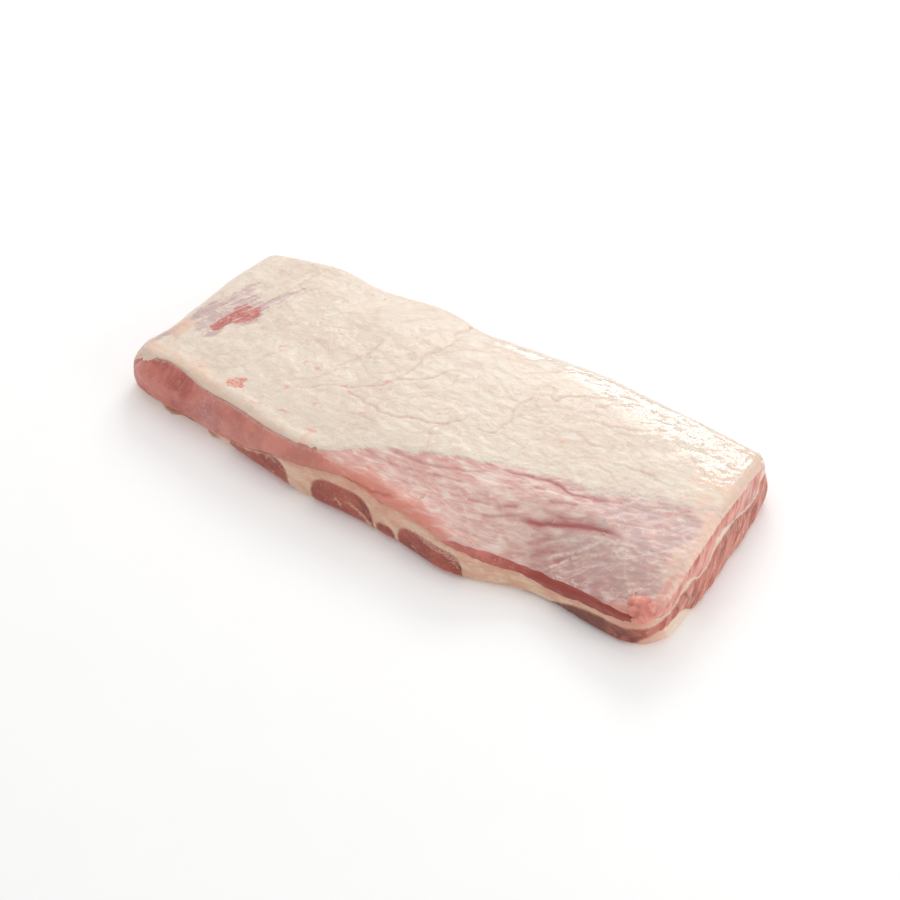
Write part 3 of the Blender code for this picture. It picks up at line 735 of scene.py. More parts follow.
# %% Where the drawn patches and lines lie
def patch_guides(points):
    plan, wander = points[:, :2], shaken(points, 9, 30, 2.4)
    bent = plan + wander + shaken(points, 3.4, 32, 1.0)
    drawn = {"window": RED_WINDOW, "silver": SILVER, "salmon": SALMON, "blush": BLUSHES, "amber": AMBER}
    found = {name: spots(bent, places) for name, places in drawn.items()}
    found["flush"] = spots(plan + wander, FLUSH)
    found["haze"] = spots(plan + wander * 3, HAZE)
    broad = {"peach": PEACH, "wet": WET, "sheen": SHEEN}
    return found | {name: spots(plan + wander * 2, places) for name, places in broad.items()}


def edge_guides(points):
    """Tints that follow the slab's edges and ends, and painted shade along the front edge at the right."""
    x, y, _ = points.T
    from_edge = np.maximum(0, y - along(FRONT_EDGE, x) - 2)
    return {
        "ruddy": along(RUDDY_EDGE, x) * np.exp(-((from_edge / 13) ** 1.3)),
        # Painted shade: the surface darkens towards the front edge at the right.
        "front_edge_shade": np.exp(-((from_edge / 26) ** 2)) * smooth_step((x - 90) / 50),
        "rag": np.exp(-(((along(BACK_EDGE, x) - y) / 5) ** 2)) * smooth_step((x + 70) / 20),
        "end": smooth_step((x - 212) / 14),
        "light": smooth_step((x + 225) / 130) * (1 - smooth_step((x - 30) / 60)),
    }


def line_guides(points):
    x, y, z = points.T
    plan, wander = points[:, :2], line_wander(points)
    smooth, shake = plan + wander * LEAN_WANDER, shaken(points, 6, 36, 1.2)
    face, cut = np.stack([x, z], -1) + shake, np.stack([y, z], -1) + shake
    on_front = y < -70
    # The folds on the front and the slits on the right end, which the materials darken as painted shade.
    dark = np.where(x > 222, strokes(cut, SLIT), strokes(face, DARK_FOLD) * on_front)
    return {
        "crease": np.clip(strokes(plan + wander, FAT_CREASES, 0.8), 0, 1),
        "fold": np.clip(0.8 * strokes(smooth, LEAN_FOLDS, 1.15), 0, 1),
        "line": np.clip(1.3 * strokes(smooth, MEMBRANE_LINES, 0.8), 0, 1),
        "vein": np.clip(strokes(face, VEINS), 0, 1) * on_front,
        "dark": np.clip(dark, 0, 1),
        "frost": spots(face, FROST) * on_front,
    }


# %% Where cut meat shows
def side_guides(points, normals, ahead):
    x, y, z = points.T
    steep = 1 - smooth_step((normals[:, 2] - 0.35) / 0.45)
    # On the left the cut meat reaches right up to the lip of the fat.
    roll = (1 - smooth_step((x + 92) / 14)) * smooth_step((ahead + 0.4) / 1.2)
    # Along the middle it sinks away under the lean's rounded edge.
    cut = smooth_step((along(CUT_TOP, x) + 1.2 * noise(points, (6, 5, 4), 39) - z) / 1.4)
    steep = np.where((x > -88) & (x < 60) & (y < -60), cut, steep)
    # On the right it reaches a little way onto the top.
    reach = along(BAND_REACH, x) + 0.9 * noise(points, (8, 8, 8), 38)
    band = 1 - smooth_step((y - along(FRONT_EDGE, x) - reach) / 1.6)
    band *= smooth_step((x - 45) / 15) * (ahead > 20)
    corner, folded = corner_fold(points)
    brim = np.exp(-(((normals[:, 2] - 0.74) / 0.2) ** 2))
    return {
        "side": mix(np.maximum.reduce([steep, roll, band]), folded, corner),
        "lip": np.exp(-(((ahead - 1.2) / 1.4) ** 2)) * (1 - smooth_step((x + 70) / 30)) * (y < 0),
        "brim": brim * smooth_step((x - 214) / 6) * smooth_step((y + 72) / 10),
    }


def guides(points, normals, ahead):
    """Every number that the materials read, by name. Three of them are places, for drawn-out noise."""
    x, y, z = points.T
    run = x + y
    found = {"grain": grain_lines(x, y), "streak": turned(points, 68)[:, :2],
             "wrinkle": wrinkle_lines(points),
             "slant": np.stack([0.75 * run + 0.66 * z, 0.75 * z - 0.66 * run], -1)}
    for more in (border_guides(points, ahead), patch_guides(points), edge_guides(points), line_guides(points),
                 side_guides(points, normals, ahead)):
        found |= more
    return found


# %% [markdown]
# ## From block to layer
#
# `layer` puts the pieces together: it cuts a block, bends it, moves its skin and stores the guides. It
# returns the finished object. The normals that move the skin come from the faces that show, and hidden
# faces don't count, so a layer keeps its full width right up to its border.

# %% Faces and normals of a block
def block_faces(keys, coarse, bare_rows, feathered):
    """The faces over the block's sides, the number of each face's side, and the names of the sides."""
    patches = {
        "floor": (keys[:, :, 0], True),
        "front": (keys[:, 0, :], False),
        "back": (keys[:, -1, :], True),
        "left": (keys[0], True),
        "right": (keys[-1], False),
        "roof": (keys[:, : (bare_rows or keys.shape[1] - 1) + 1, -1], False),
    }
    if bare_rows:
        patches["hidden"] = (keys[:, bare_rows:, -1], False)
    if feathered:
        del patches["front"]
    faces, sides, names = [], [], sorted(patches)
    for number, side in enumerate(names):
        grid, turned = patches[side]
        steps = coarse.get(side, (1, 1))
        made = patch_faces(grid, *[every(n - 1, step) for n, step in zip(grid.shape, steps)], turned)
        if feathered and side in ("left", "right"):
            made = [[key for key, before in zip(face, np.roll(face, 1)) if key != before] for face in made]
            made = [face for face in made if len(face) > 2]
        faces += made
        sides += [number] * len(made)
    return faces, np.array(sides), names


def face_normals(points, loops, starts, totals):
    """Each face's area-weighted normal."""
    following = np.arange(len(loops)) + 1
    ends = starts + totals
    following[ends - 1] = starts
    crossed = np.cross(points[loops], points[loops[following]])
    return np.add.reduceat(crossed, starts, axis=0)


def skin_normals(points, loops, starts, totals, showing):
    """Each point's normal from the faces that show, and whether it has one."""
    facing = face_normals(points, loops, starts, totals) * showing[:, None]
    normals = np.zeros_like(points)
    for axis in range(3):
        normals[:, axis] = np.bincount(loops, np.repeat(facing[:, axis], totals), len(points))
    size = np.linalg.norm(normals, axis=1)
    return normals / np.maximum(size, 1e-9)[:, None], size > 1e-9


def straight(a, row):
    """Rows that keep their own place across the slab."""
    return row


# %% The layer builder
def layer(name, columns, rows, levels, floor, roof, shown, coarse, bare_rows=0, place=row_place,
          feathered=False):
    """shown names the sides that show; coarse gives each side's step. bare_rows is where a shown roof ends.

    A feathered layer runs out to nothing at its front, where roof and floor share their points."""
    counts = (len(columns), len(rows), levels + 1)
    keys = np.arange(np.prod(counts)).reshape(counts)
    if feathered:
        keys[:, 0, :] = keys[:, 0, -1:]
    faces, sides, names = block_faces(keys, coarse, bare_rows, feathered)
    totals = np.array([len(face) for face in faces])
    starts = np.concatenate([[0], np.cumsum(totals)[:-1]])
    used, loops = np.unique(np.concatenate(faces), return_inverse=True)
    loops = loops.reshape(-1)

    i, j, k = np.unravel_index(used, counts)
    a, row = columns[i], rows[j]
    b = place(a, row)
    low = floor(a, b, row)
    flat = slab_point(a, b, mix(low, roof(a, b, row), k / levels))

    showing = np.isin(sides, [names.index(s) for s in shown])
    lifted = np.bincount(np.repeat(np.arange(len(totals)), totals), low[loops], len(totals)) / totals
    showing &= (sides != names.index("floor")) | (lifted < 0.004)
    normals, outer = skin_normals(flat, loops, starts, totals, showing)
    points, found = skin(flat, normals, outer, a, b)
    # Hidden faces sink a little where they lie close under a thin skin.
    sunk = ~outer & (flat[:, 2] > cover_level(a, b) - 3)
    points[:, 2] -= np.where(sunk, 2.2 if "roof" in shown and not bare_rows else 2.8, 0)
    points[:, 2] = np.maximum(points[:, 2], 0.0)
    return build(name, points - CENTRE, flat, loops, starts, totals, sides, showing, names, found)


def skin(flat, normals, outer, a, b):
    """The points with their relief, and every guide."""
    ahead = ahead_of_rim(a, b)
    found = guides(flat, normals, ahead)
    seam, arch = border_distance(a, b, flat[:, 2], flat)
    found["seam"] = np.exp(-((seam / 2.2) ** 2))
    found["arch"] = np.exp(-((arch / 1.8) ** 2))
    top_share = smooth_step((normals[:, 2] - 0.25) / 0.5)
    under_share = smooth_step((-normals[:, 2] - 0.3) / 0.4)
    move = mix(side_relief(flat, seam, arch), top_relief(flat, found, ahead), top_share)
    move = mix(move, np.minimum(0, move * 0.8 + 0.3), under_share)
    return flat + normals * (move * outer)[:, None], found


# %% Mesh, seams and map
def build(name, points, flat, loops, starts, totals, sides, showing, names, found):
    mesh = bpy.data.meshes.new(name)
    mesh.vertices.add(len(points))
    mesh.loops.add(len(loops))
    mesh.polygons.add(len(totals))
    mesh.vertices.foreach_set("co", (points * MM).astype(np.float32).ravel())
    mesh.loops.foreach_set("vertex_index", loops.astype(np.int32))
    mesh.polygons.foreach_set("loop_start", starts.astype(np.int32))
    mesh.polygons.foreach_set("loop_total", totals.astype(np.int32))
    mesh.polygons.foreach_set("use_smooth", np.ones(len(totals), bool))
    mesh.update(calc_edges=True)
    of_loop = np.repeat(showing, totals)
    edges = np.empty(len(loops), np.int32)
    mesh.loops.foreach_get("edge_index", edges)
    seen, unseen = np.zeros(len(mesh.edges), bool), np.zeros(len(mesh.edges), bool)
    seen[edges[of_loop]] = True
    unseen[edges[~of_loop]] = True
    mesh.attributes.new("sharp_edge", "BOOLEAN", "EDGE").data.foreach_set("value", seen & unseen)
    for label, values in found.items():
        if values.ndim == 1:
            mesh.attributes.new(label, "FLOAT", "POINT").data.foreach_set("value", values.astype(np.float32))
        else:
            full = np.column_stack([values, np.zeros(len(values))]).astype(np.float32)
            mesh.attributes.new(label, "FLOAT_VECTOR", "POINT").data.foreach_set("vector", full.ravel())
    lay_flat(mesh, flat, loops, np.repeat(sides, totals), names)
    piece = bpy.data.objects.new(name, mesh)
    bpy.context.scene.collection.objects.link(piece)
    print(f"{name}: {len(points)} points, {int((totals - 2).sum())} triangles")
    return piece


def lay_flat(mesh, flat, loops, side_of_loop, names):
    """Each side of the block gets its own place on the map, all at one scale."""
    axes = {"front": (0, 2), "back": (0, 2), "left": (1, 2), "right": (1, 2)}
    places = np.zeros((len(loops), 2))
    level = 4.0
    for number, side in enumerate(names):
        chosen = side_of_loop == number
        spread = flat[loops[chosen]][:, axes.get(side, (0, 1))]
        spread = (spread - spread.min(0)) * (0.2 if side == "hidden" else 1)
        places[chosen] = spread + [4, level]
        level += spread[:, 1].max() + 6
    layer_map = mesh.uv_layers.new(name="OFBake")
    layer_map.data.foreach_set("uv", (places / (places.max() + 4)).astype(np.float32).ravel())


# %% [markdown]
# ## The fat cover
#
# It is the large cream sheet on top, a few millimetres thick, which feathers out over the lean. It
# could be a colour on one big mesh, but it is a layer of its own on the real slab and shows its
# thickness at the back and the right end, so it is built as one.

# %% Columns and rows
def even(low, high, step):
    return np.linspace(low, high, max(2, int(round((high - low) / step)) + 1))


def crowded(count, pull=1.25):
    """Places from -1 to 1 that lie closer together towards both ends, where the slab rounds over."""
    s = np.linspace(-1, 1, count + 1)
    return np.sign(s) * (1 - (1 - np.abs(s)) ** pull)


# Lengths in millimetres that are cut into cells: the slab, the lean's rows, the rows behind the rim.
SLAB_LENGTH, LEAN_REACH, COVER_REACH, HALF_WIDTH = 516, 112, 150, 100
COLUMNS = crowded(int(SLAB_LENGTH / STEP))
BARE_ROWS = int(LEAN_REACH / STEP)
ROWS_IN_FRONT = np.linspace(-1, 0, BARE_ROWS + 1)
t = np.linspace(0, 1, int(COVER_REACH / STEP) + 1)
ROWS_BEHIND = mix(t, (1 - np.cos(math.pi * t)) / 2, 0.35)
HIDDEN = (int(9 / STEP), int(9 / STEP))
print(len(COLUMNS), "columns,", BARE_ROWS, "rows in front of the rim,", len(ROWS_BEHIND), "behind it")

# %% Fat cover
def full_height(a, b, row):
    return np.ones_like(a)


def ground(a, b, row):
    return np.zeros_like(a)


fat_cover = layer("fat_cover_skin", COLUMNS, ROWS_BEHIND, 6, under_cover, full_height,
                  ["roof", "back", "left", "right"], {"floor": HIDDEN}, feathered=True)

# %% [markdown]
# ## The upper muscle
#
# This is the meat itself. Its top shows in front of the fat as pale lean under a thin membrane, and its
# front is the thick red roll on the left that thins to a band on the right.

# %% Upper muscle
MUSCLE_LEVELS, BED_LEVELS, STRIP_LEVELS, LOBE_LEVELS = [int(height / STEP) for height in (20, 14, 18, 10)]
muscle = layer("upper_muscle_flesh", COLUMNS, np.concatenate([ROWS_IN_FRONT, ROWS_BEHIND[1:]]), MUSCLE_LEVELS,
               lambda a, b, row: seam_share(a, b), under_cover, ["roof", "front", "back", "left", "right"],
               {"floor": HIDDEN, "hidden": HIDDEN}, bare_rows=BARE_ROWS)

# %% [markdown]
# ## Seam fat and rib meat
#
# Under the muscle lies a bed of fat, and in it the strips of meat that sat between the ribs. Each strip
# stands like an arch in the fat, so both need columns at the same places along the arch. They are
# spaced by the arch's own length, so that its steep sides get as many as its flat top.

# %% Columns along the arches
def arch_columns(strip):
    start, end = strip_span(strip)
    stations = mix(start, end, (1 - np.cos(math.pi * np.linspace(0, 1, 1500))) / 2)
    x, z = plan_x(stations, -1.0), strip_roof(strip, stations, -1.0)
    length = np.concatenate([[0], np.cumsum(np.hypot(np.diff(x), np.diff(z)))])
    picked = np.interp(np.linspace(0, length[-1], int(length[-1] / STEP) + 1), length, stations)
    kept = [start]
    for station in picked[1:-1]:
        if min(station - kept[-1], end - station) * SLAB_LENGTH / 2 > 0.3:
            kept.append(round(station, 7))
    return np.array(kept + [end])


strip_columns = [arch_columns(strip) for strip in RIB_MEAT]
plain = [s for s in COLUMNS if not any(c[0] - 0.003 < s < c[-1] + 0.003 for c in strip_columns)]
LOW_COLUMNS = np.unique(np.concatenate([*strip_columns, plain, [-1.0, 1.0]]))
LOW_ROWS = crowded(int(2 * HALF_WIDTH / STEP))
print(len(LOW_COLUMNS), "columns and", len(LOW_ROWS), "rows in the lower layers")

# %% Seam fat
seam_fat = layer("seam_fat_bed", LOW_COLUMNS, LOW_ROWS, BED_LEVELS, lambda a, b, row: strips_share(a, b),
                 lambda a, b, row: seam_share(a, b), ["front", "back", "left", "right", "floor"],
                 {"roof": HIDDEN, "floor": (2, 2)}, place=straight)

# %% Strips of rib meat
def strip_top(strip):
    return lambda a, b, row: np.maximum(share_of_height(a, b, strip_roof(strip, a, b))[0], 0.004)


rib_strips = []
for number, (strip, stations) in enumerate(zip(RIB_MEAT, strip_columns), 1):
    to_the_end = strip[1] is None
    bed = (lambda a, b, row: lobe_share(a, b)) if to_the_end else ground
    sides = ["front", "back", "floor"] + ["right"] * to_the_end
    coarse = {"roof": HIDDEN, "floor": (2, 2), "left": (4, 4)} | ({} if to_the_end else {"right": (4, 4)})
    rib_strips.append(layer(f"rib_meat_strip_{number}", stations, LOW_ROWS, STRIP_LEVELS, bed,
                            strip_top(strip), sides, coarse, place=straight))

# %% Fat lobe at the right end
# Where the lobe starts, in the block's own numbers along and across.
LOBE_START, LOBE_BACK = 0.936, -0.45
lobe_stations = even(LOBE_START, 1.0, 2 * STEP / SLAB_LENGTH)
lobe_rows = even(-1.0, LOBE_BACK, STEP / HALF_WIDTH)
end_fat = layer("end_fat_lobe", lobe_stations, lobe_rows, LOBE_LEVELS, ground,
                lambda a, b, row: np.maximum(lobe_share(a, b), 0.002),
                ["front", "right", "floor"], {}, place=straight)

# %% [markdown]
# ## Small pieces
#
# A few details are too fine or too undercut for the layers: the nub of meat at the front right corner,
# thin flaps of membrane that hang out under the roll, and short curled threads on the lean. Each is a
# small mesh of its own.

# %% Where the surface is
def surface_height(x, y):
    """The slab's top over a place in plan, without its relief."""
    a = 2 * (x - along(LEFT_END, 0.0)) / (along(RIGHT_END, 0.0) - along(LEFT_END, 0.0)) - 1
    front, back = along(FRONT_EDGE, x), along(BACK_EDGE, x)
    b = 2 * (y - front) / (back - front) - 1
    return slab_level(np.array([a]), np.array([b]), 1.0)[0]


def small_piece(name, points, faces, guide=None):
    mesh = bpy.data.meshes.new(name)
    mesh.from_pydata(((points - CENTRE) * MM).tolist(), [], [list(map(int, face)) for face in faces])
    mesh.shade_smooth()
    if guide is not None:
        mesh.attributes.new("guide", "FLOAT", "POINT").data.foreach_set("value", guide.astype(np.float32))
    piece = bpy.data.objects.new(name, mesh)
    bpy.context.scene.collection.objects.link(piece)
    return piece


# %% [markdown]
# ## The nub at the corner
#
# It is a small knot of meat, a ball in the rough, with soft lobes folded round it. Deep grooves between
# the lobes are what make it read as flesh, so they are cut into the mesh.

# %% Nub
def ball(count_round, count_up):
    """Points and faces of a round ball, its poles closed with one point each."""
    turn = np.linspace(0, 2 * math.pi, count_round, endpoint=False)
    tilt = np.linspace(-math.pi / 2, math.pi / 2, count_up + 1)[1:-1]
    T, P = np.meshgrid(turn, tilt, indexing="ij")
    points = np.stack([np.cos(T) * np.cos(P), np.sin(T) * np.cos(P), np.sin(P)], -1).reshape(-1, 3)
    points = np.vstack([points, [[0, 0, -1], [0, 0, 1]]])
    rows, faces = len(tilt), []
    for u in range(count_round):
        v = (u + 1) % count_round
        faces += [(u * rows + w, v * rows + w, v * rows + w + 1, u * rows + w + 1) for w in range(rows - 1)]
        faces.append((v * rows, u * rows, len(points) - 2))
        faces.append((u * rows + rows - 1, v * rows + rows - 1, len(points) - 1))
    return points, faces


NUB_CENTRE, NUB_SIZE = np.array([213.0, -79.5, 30.5]), np.array([11.5, 11.5, 9.5])
unit, ball_faces = ball(84, 52)
lobes = np.abs(noise(unit * 10, (19, 26, 22), 57))
fold = np.exp(-((lobes / 0.12) ** 2))
uneven = 1 + 0.20 * noise(unit * 10, 12, 52) - 0.13 * fold + 0.04 * noise(unit * 10, 4, 53)
nub = small_piece("corner_nub", unit * NUB_SIZE * uneven[:, None] + NUB_CENTRE, ball_faces, fold)
print("nub:", len(nub.data.polygons), "faces")

# %% [markdown]
# ## Flaps of membrane
#
# Thin skin was left where the slab was trimmed, and it shows as pale tongues under the roll. A tongue
# is a sheet that curls, so it is drawn as a strip between two edges and then given a little thickness.

# %% Flaps
FLAP_COLUMNS, FLAP_ROWS, FLAP_DEPTH, FLAP_THICKNESS = 40, 12, 12, 0.8


def flap(name, x_from, x_to, out, level, seed):
    """A tongue of membrane under the front side, from one place along the slab to another.

    out is its tip's place behind the front edge, and level is the height of its root."""
    T, W = np.meshgrid(np.linspace(0, 1, FLAP_COLUMNS), np.linspace(0, 1, FLAP_ROWS), indexing="ij")
    x = mix(x_from, x_to, T)
    places = np.column_stack([x.ravel(), 0 * x.ravel(), 0 * x.ravel()])
    reach = out + 1.2 * noise(places, 7, seed).reshape(x.shape)
    y = along(FRONT_EDGE, x) + FLAP_DEPTH - (FLAP_DEPTH - reach) * W * np.sin(math.pi * T) ** 0.7
    z = level * (1 - W) ** 0.7 + 0.9 + 0.6 * np.sin(T * 9 + seed) * W
    sheet = np.stack([x, y, z], -1).reshape(-1, 3)
    sheet += 0.35 * np.column_stack([0 * sheet[:, 0], noise(sheet, 4, seed + 1), noise(sheet, 3, seed + 2)])
    under = sheet - [0, 0, FLAP_THICKNESS]
    under[:, 2] = np.maximum(under[:, 2], 0.02)
    sheet[:, 2] = np.maximum(sheet[:, 2], under[:, 2] + 0.25)
    return small_piece(name, np.vstack([sheet, under]), sheet_faces(x.shape), np.tile(W.ravel(), 2))


def sheet_faces(shape):
    """The faces of a thin sheet whose two sides are grids of one shape, one after the other."""
    count, (columns, rows) = shape[0] * shape[1], shape
    keys = np.arange(count).reshape(shape)
    top = patch_faces(keys, list(range(columns)), list(range(rows)), True)
    bottom = patch_faces(keys + count, list(range(columns)), list(range(rows)), False)
    ring = np.concatenate([keys[:, 0], keys[-1, 1:], keys[::-1, -1][1:], keys[0, ::-1][1:-1]])
    following = np.roll(ring, -1)
    rim = np.stack([ring, following, following + count, ring + count], -1)
    return [*top, *bottom, *rim]


# From and to along the slab, the tip's place, the root's height, and the seed of its ragged edge.
FLAPS = [(-248, -214, 3.6, 1.6, 61), (-194, -172, 3.4, 2.0, 64)]
flaps = [flap(f"membrane_flap_{n}", *place) for n, place in enumerate(FLAPS, 1)]
print(len(flaps), "flaps")

# %% [markdown]
# ## Curled threads
#
# Short ends of membrane curl up from the lean like bits of thread. A curve with a round bevel would do.
# The same tube is built here from rings, so that it tapers at both ends.

# %% Threads
THREAD_RINGS, THREAD_SIDES = 26, 10


def thread(name, path, thickness):
    """A tube along a path, thin at both ends."""
    places = np.linspace(0, 1, THREAD_RINGS)
    knots = np.array(path, float)
    share = np.linspace(0, 1, len(knots))
    line = np.stack([along(list(zip(share, knots[:, k])), places) for k in range(3)], -1)
    way = np.gradient(line, axis=0)
    way /= np.linalg.norm(way, axis=1, keepdims=True)
    side = np.cross(way, [0, 0, 1.0])
    side /= np.maximum(np.linalg.norm(side, axis=1, keepdims=True), 1e-6)
    up = np.cross(side, way)
    radius = thickness * (0.25 + 0.75 * np.sin(math.pi * places) ** 0.5)
    turn = np.linspace(0, 2 * math.pi, THREAD_SIDES, endpoint=False)[:, None]
    spokes = side[:, None] * np.cos(turn) + up[:, None] * np.sin(turn)
    rings = line[:, None] + radius[:, None, None] * spokes
    keys = np.arange(THREAD_RINGS * THREAD_SIDES).reshape(THREAD_RINGS, THREAD_SIDES)
    beside = np.roll(keys, -1, axis=1)
    tube = np.stack([keys[:-1], beside[:-1], beside[1:], keys[1:]], -1).reshape(-1, 4)
    return small_piece(name, rings.reshape(-1, 3), [*tube, keys[0][::-1], keys[-1]], np.zeros(keys.size))


# Each thread's path in plan, its thickness, and how high its middle stands.
THREADS = [
    ([(118, -46), (120, -44), (122, -45.5), (121, -47.5)], 0.30, 0.5),
    ([(158, -41), (160, -39), (162, -41), (161, -43)], 0.30, 0.5),
    ([(74, -91), (78, -92), (81, -90.5), (84, -91)], 0.50, 0.0),
    ([(119, -86), (121, -88), (120, -90)], 0.30, 0.4),
    ([(24, -80), (26, -77), (25, -73)], 0.35, 0.3),
    ([(203, -80), (205, -76), (204, -72), (207, -69)], 0.40, 0.5),
    ([(199, -86), (203, -84), (206, -85)], 0.35, 0.4),
]
THREAD_SUNK = 0.6
threads = []
for number, (path, thickness, lift) in enumerate(THREADS, 1):
    arc = [lift * math.sin(math.pi * k / (len(path) - 1)) for k in range(len(path))]
    knots = [(x, y, surface_height(x, y) - THREAD_SUNK + rise) for (x, y), rise in zip(path, arc)]
    threads.append(thread(f"membrane_thread_{number}", knots, thickness))
print(len(threads), "threads")

# %% [markdown]
# ## Writing materials as sums
#
# A material is a small program made of nodes. To keep it readable, `Amount` wraps a socket that carries
# one number, so that plus, minus and times add the Math nodes. `Finish` makes every other node with one
# method.

# %% Amounts and finishes
class Amount:
    """One number that varies over a surface. Python's own signs work on it."""

    def __init__(self, finish, socket):
        self.finish, self.socket = finish, socket

    def sum_of(self, operation, *terms):
        node = self.finish.node("Math", {"operation": operation}, dict(enumerate(terms)))
        return Amount(self.finish, node.outputs[0])

    def __add__(self, other):
        return self.sum_of("ADD", self, other)

    def __sub__(self, other):
        return self.sum_of("SUBTRACT", self, other)

    def __rsub__(self, other):
        return self.sum_of("SUBTRACT", other, self)

    def __mul__(self, other):
        return self.sum_of("MULTIPLY", self, other)

    def __abs__(self):
        return self.sum_of("ABSOLUTE", self)

    __radd__, __rmul__ = __add__, __mul__


def shade(red, green, blue):
    """A colour as a painter would mix it on a screen, 0 to 255, as the light it gives back."""
    parts = [part / 255 for part in (red, green, blue)]
    return (*[p / 12.92 if p <= 0.04045 else ((p + 0.055) / 1.055) ** 2.4 for p in parts], 1.0)


class Finish:
    """A material and the few kinds of node that these finishes use."""

    def __init__(self, name, **constants):
        self.material = bpy.data.materials.new(name)
        self.material.use_nodes = True
        self.tree = self.material.node_tree
        self.shader = self.tree.nodes["Principled BSDF"]
        for socket, value in constants.items():
            self.shader.inputs[socket.replace("_", " ")].default_value = value

    def node(self, kind, settings=None, sockets=None):
        made = self.tree.nodes.new("ShaderNode" + kind)
        for key, value in (settings or {}).items():
            setattr(made, key, value)
        for key, value in (sockets or {}).items():
            self.plug(made.inputs[key], value)
        return made

    def plug(self, socket, value):
        value = getattr(value, "socket", value)
        if isinstance(value, bpy.types.NodeSocket):
            self.tree.links.new(value, socket)
        else:
            socket.default_value = value

    def guide(self, name):
        """A number that was left on the points of the mesh."""
        return Amount(self, self.node("Attribute", {"attribute_name": name}).outputs["Fac"])

    def place(self, size, source=None):
        """The position in lumps of a size, in millimetres. source is a guide with a position of its own."""
        if source:
            where, unit = self.node("Attribute", {"attribute_name": source}).outputs["Vector"], 1.0
        else:
            where, unit = self.node("TexCoord").outputs["Object"], 1000.0
        scale = tuple(unit / s for s in (size if isinstance(size, tuple) else (size,) * 3))
        return self.node("VectorMath", {"operation": "MULTIPLY"}, {0: where, 1: scale}).outputs[0]

    def grain(self, size, detail=2.0, source=None, twist=0.0):
        """Soft random lumps, 0 to 1."""
        sockets = {"Vector": self.place(size, source), "Scale": 1.0, "Detail": detail, "Distortion": twist}
        return Amount(self, self.node("TexNoise", None, sockets).outputs["Fac"])

    def cells(self, size):
        """The distance to the middle of the nearest of many small cells."""
        sockets = {"Vector": self.place(size), "Scale": 1.0}
        return Amount(self, self.node("TexVoronoi", {"feature": "F1"}, sockets).outputs["Distance"])

    def step(self, amount, low, high):
        """0 below low, 1 above high, and smooth between."""
        sockets = {"Value": amount, "From Min": low, "From Max": high}
        made = self.node("MapRange", {"interpolation_type": "SMOOTHSTEP"}, sockets)
        return Amount(self, made.outputs["Result"])

    def thin_line(self, amount, width):
        """1 where the amount passes a half, and 0 a width away from it."""
        return self.step(abs(amount - 0.5), width, 0.0)

    def blend(self, share, under, over):
        """One colour over another."""
        made = self.node("Mix", {"data_type": "RGBA"}, {0: share, 6: under, 7: over})
        return made.outputs[2]

    def coats(self, colour, *layers):
        """Thin coats over a colour, each as the share that it covers and its own colour."""
        for share, over in layers:
            colour = self.blend(share, colour, over)
        return colour

    def bump(self, height, distance, strength=1.0):
        """Fine relief. distance is in millimetres."""
        sockets = {"Height": height, "Distance": distance * MM, "Strength": strength}
        self.plug(self.shader.inputs["Normal"], self.node("Bump", None, sockets).outputs["Normal"])

    def cover(self, colour, roughness):
        self.plug(self.shader.inputs["Base Color"], colour)
        self.plug(self.shader.inputs["Roughness"], roughness)
        return self.material


# %% [markdown]
# ## The colour of the top
#
# Fat and lean meet in a ragged line, so one recipe paints both. The fat is warm cream, drier and paler
# on its swells, tan in its creases. The lean is rose under a thin lilac skin, with fibres along the
# grain. The guide `bare` says where one ends and the other starts, and noise frays it.

# %% Colours of the top
CREAM, PALE_CREAM, PINK_CREAM = shade(234, 219, 202), shade(243, 232, 217), shade(230, 205, 191)
TAN, DEEP_TAN, HAIR_TAN = shade(212, 180, 158), shade(208, 166, 146), shade(216, 172, 152)
ROSE, PALE_ROSE, DEEP_ROSE = shade(214, 166, 156), shade(226, 194, 184), shade(184, 114, 110)
WHITISH, LILAC, SILVERY = shade(241, 225, 211), shade(194, 164, 162), shade(188, 152, 156)
BRICK, SALMON_PINK, ORANGE_RED = shade(188, 100, 92), shade(226, 134, 118), shade(228, 138, 118)


# %% Fat and lean
def fat_colour(f):
    broad, tint = f.grain((90, 60, 50), 2.0), f.grain((28, 20, 20), 4.0, None, 0.4)
    crumple, fine = f.grain((8, 5.5, 7), 5.0, None, 0.6), f.grain((2.0, 1.7, 1.8), 3.0)
    hairs = f.thin_line(f.grain((24, 13, 16), 3.0, None, 0.9), 0.016) * f.step(f.grain(20, 2.0), 0.45, 0.62)
    rag = f.step(f.guide("rag") + (f.grain((4, 3, 3), 4.0) - 0.5) * 1.6, 0.45, 1.0)
    return f.coats(
        f.blend(f.step(broad, 0.36, 0.64), shade(231, 214, 197), CREAM),
        (f.step(tint, 0.52, 0.74) * 0.45, PINK_CREAM),
        (f.step(crumple, 0.50, 0.72) * 0.5, PALE_CREAM),
        (f.step(crumple, 0.44, 0.26) * 0.20, TAN),
        (f.step(fine, 0.56, 0.80) * 0.16, TAN),
        (hairs * 0.45, HAIR_TAN),
        (f.guide("wrinkle") * 0.45, TAN),
        (rag * 0.6, shade(218, 168, 148)),
        (f.guide("crease") * 0.55, DEEP_TAN))


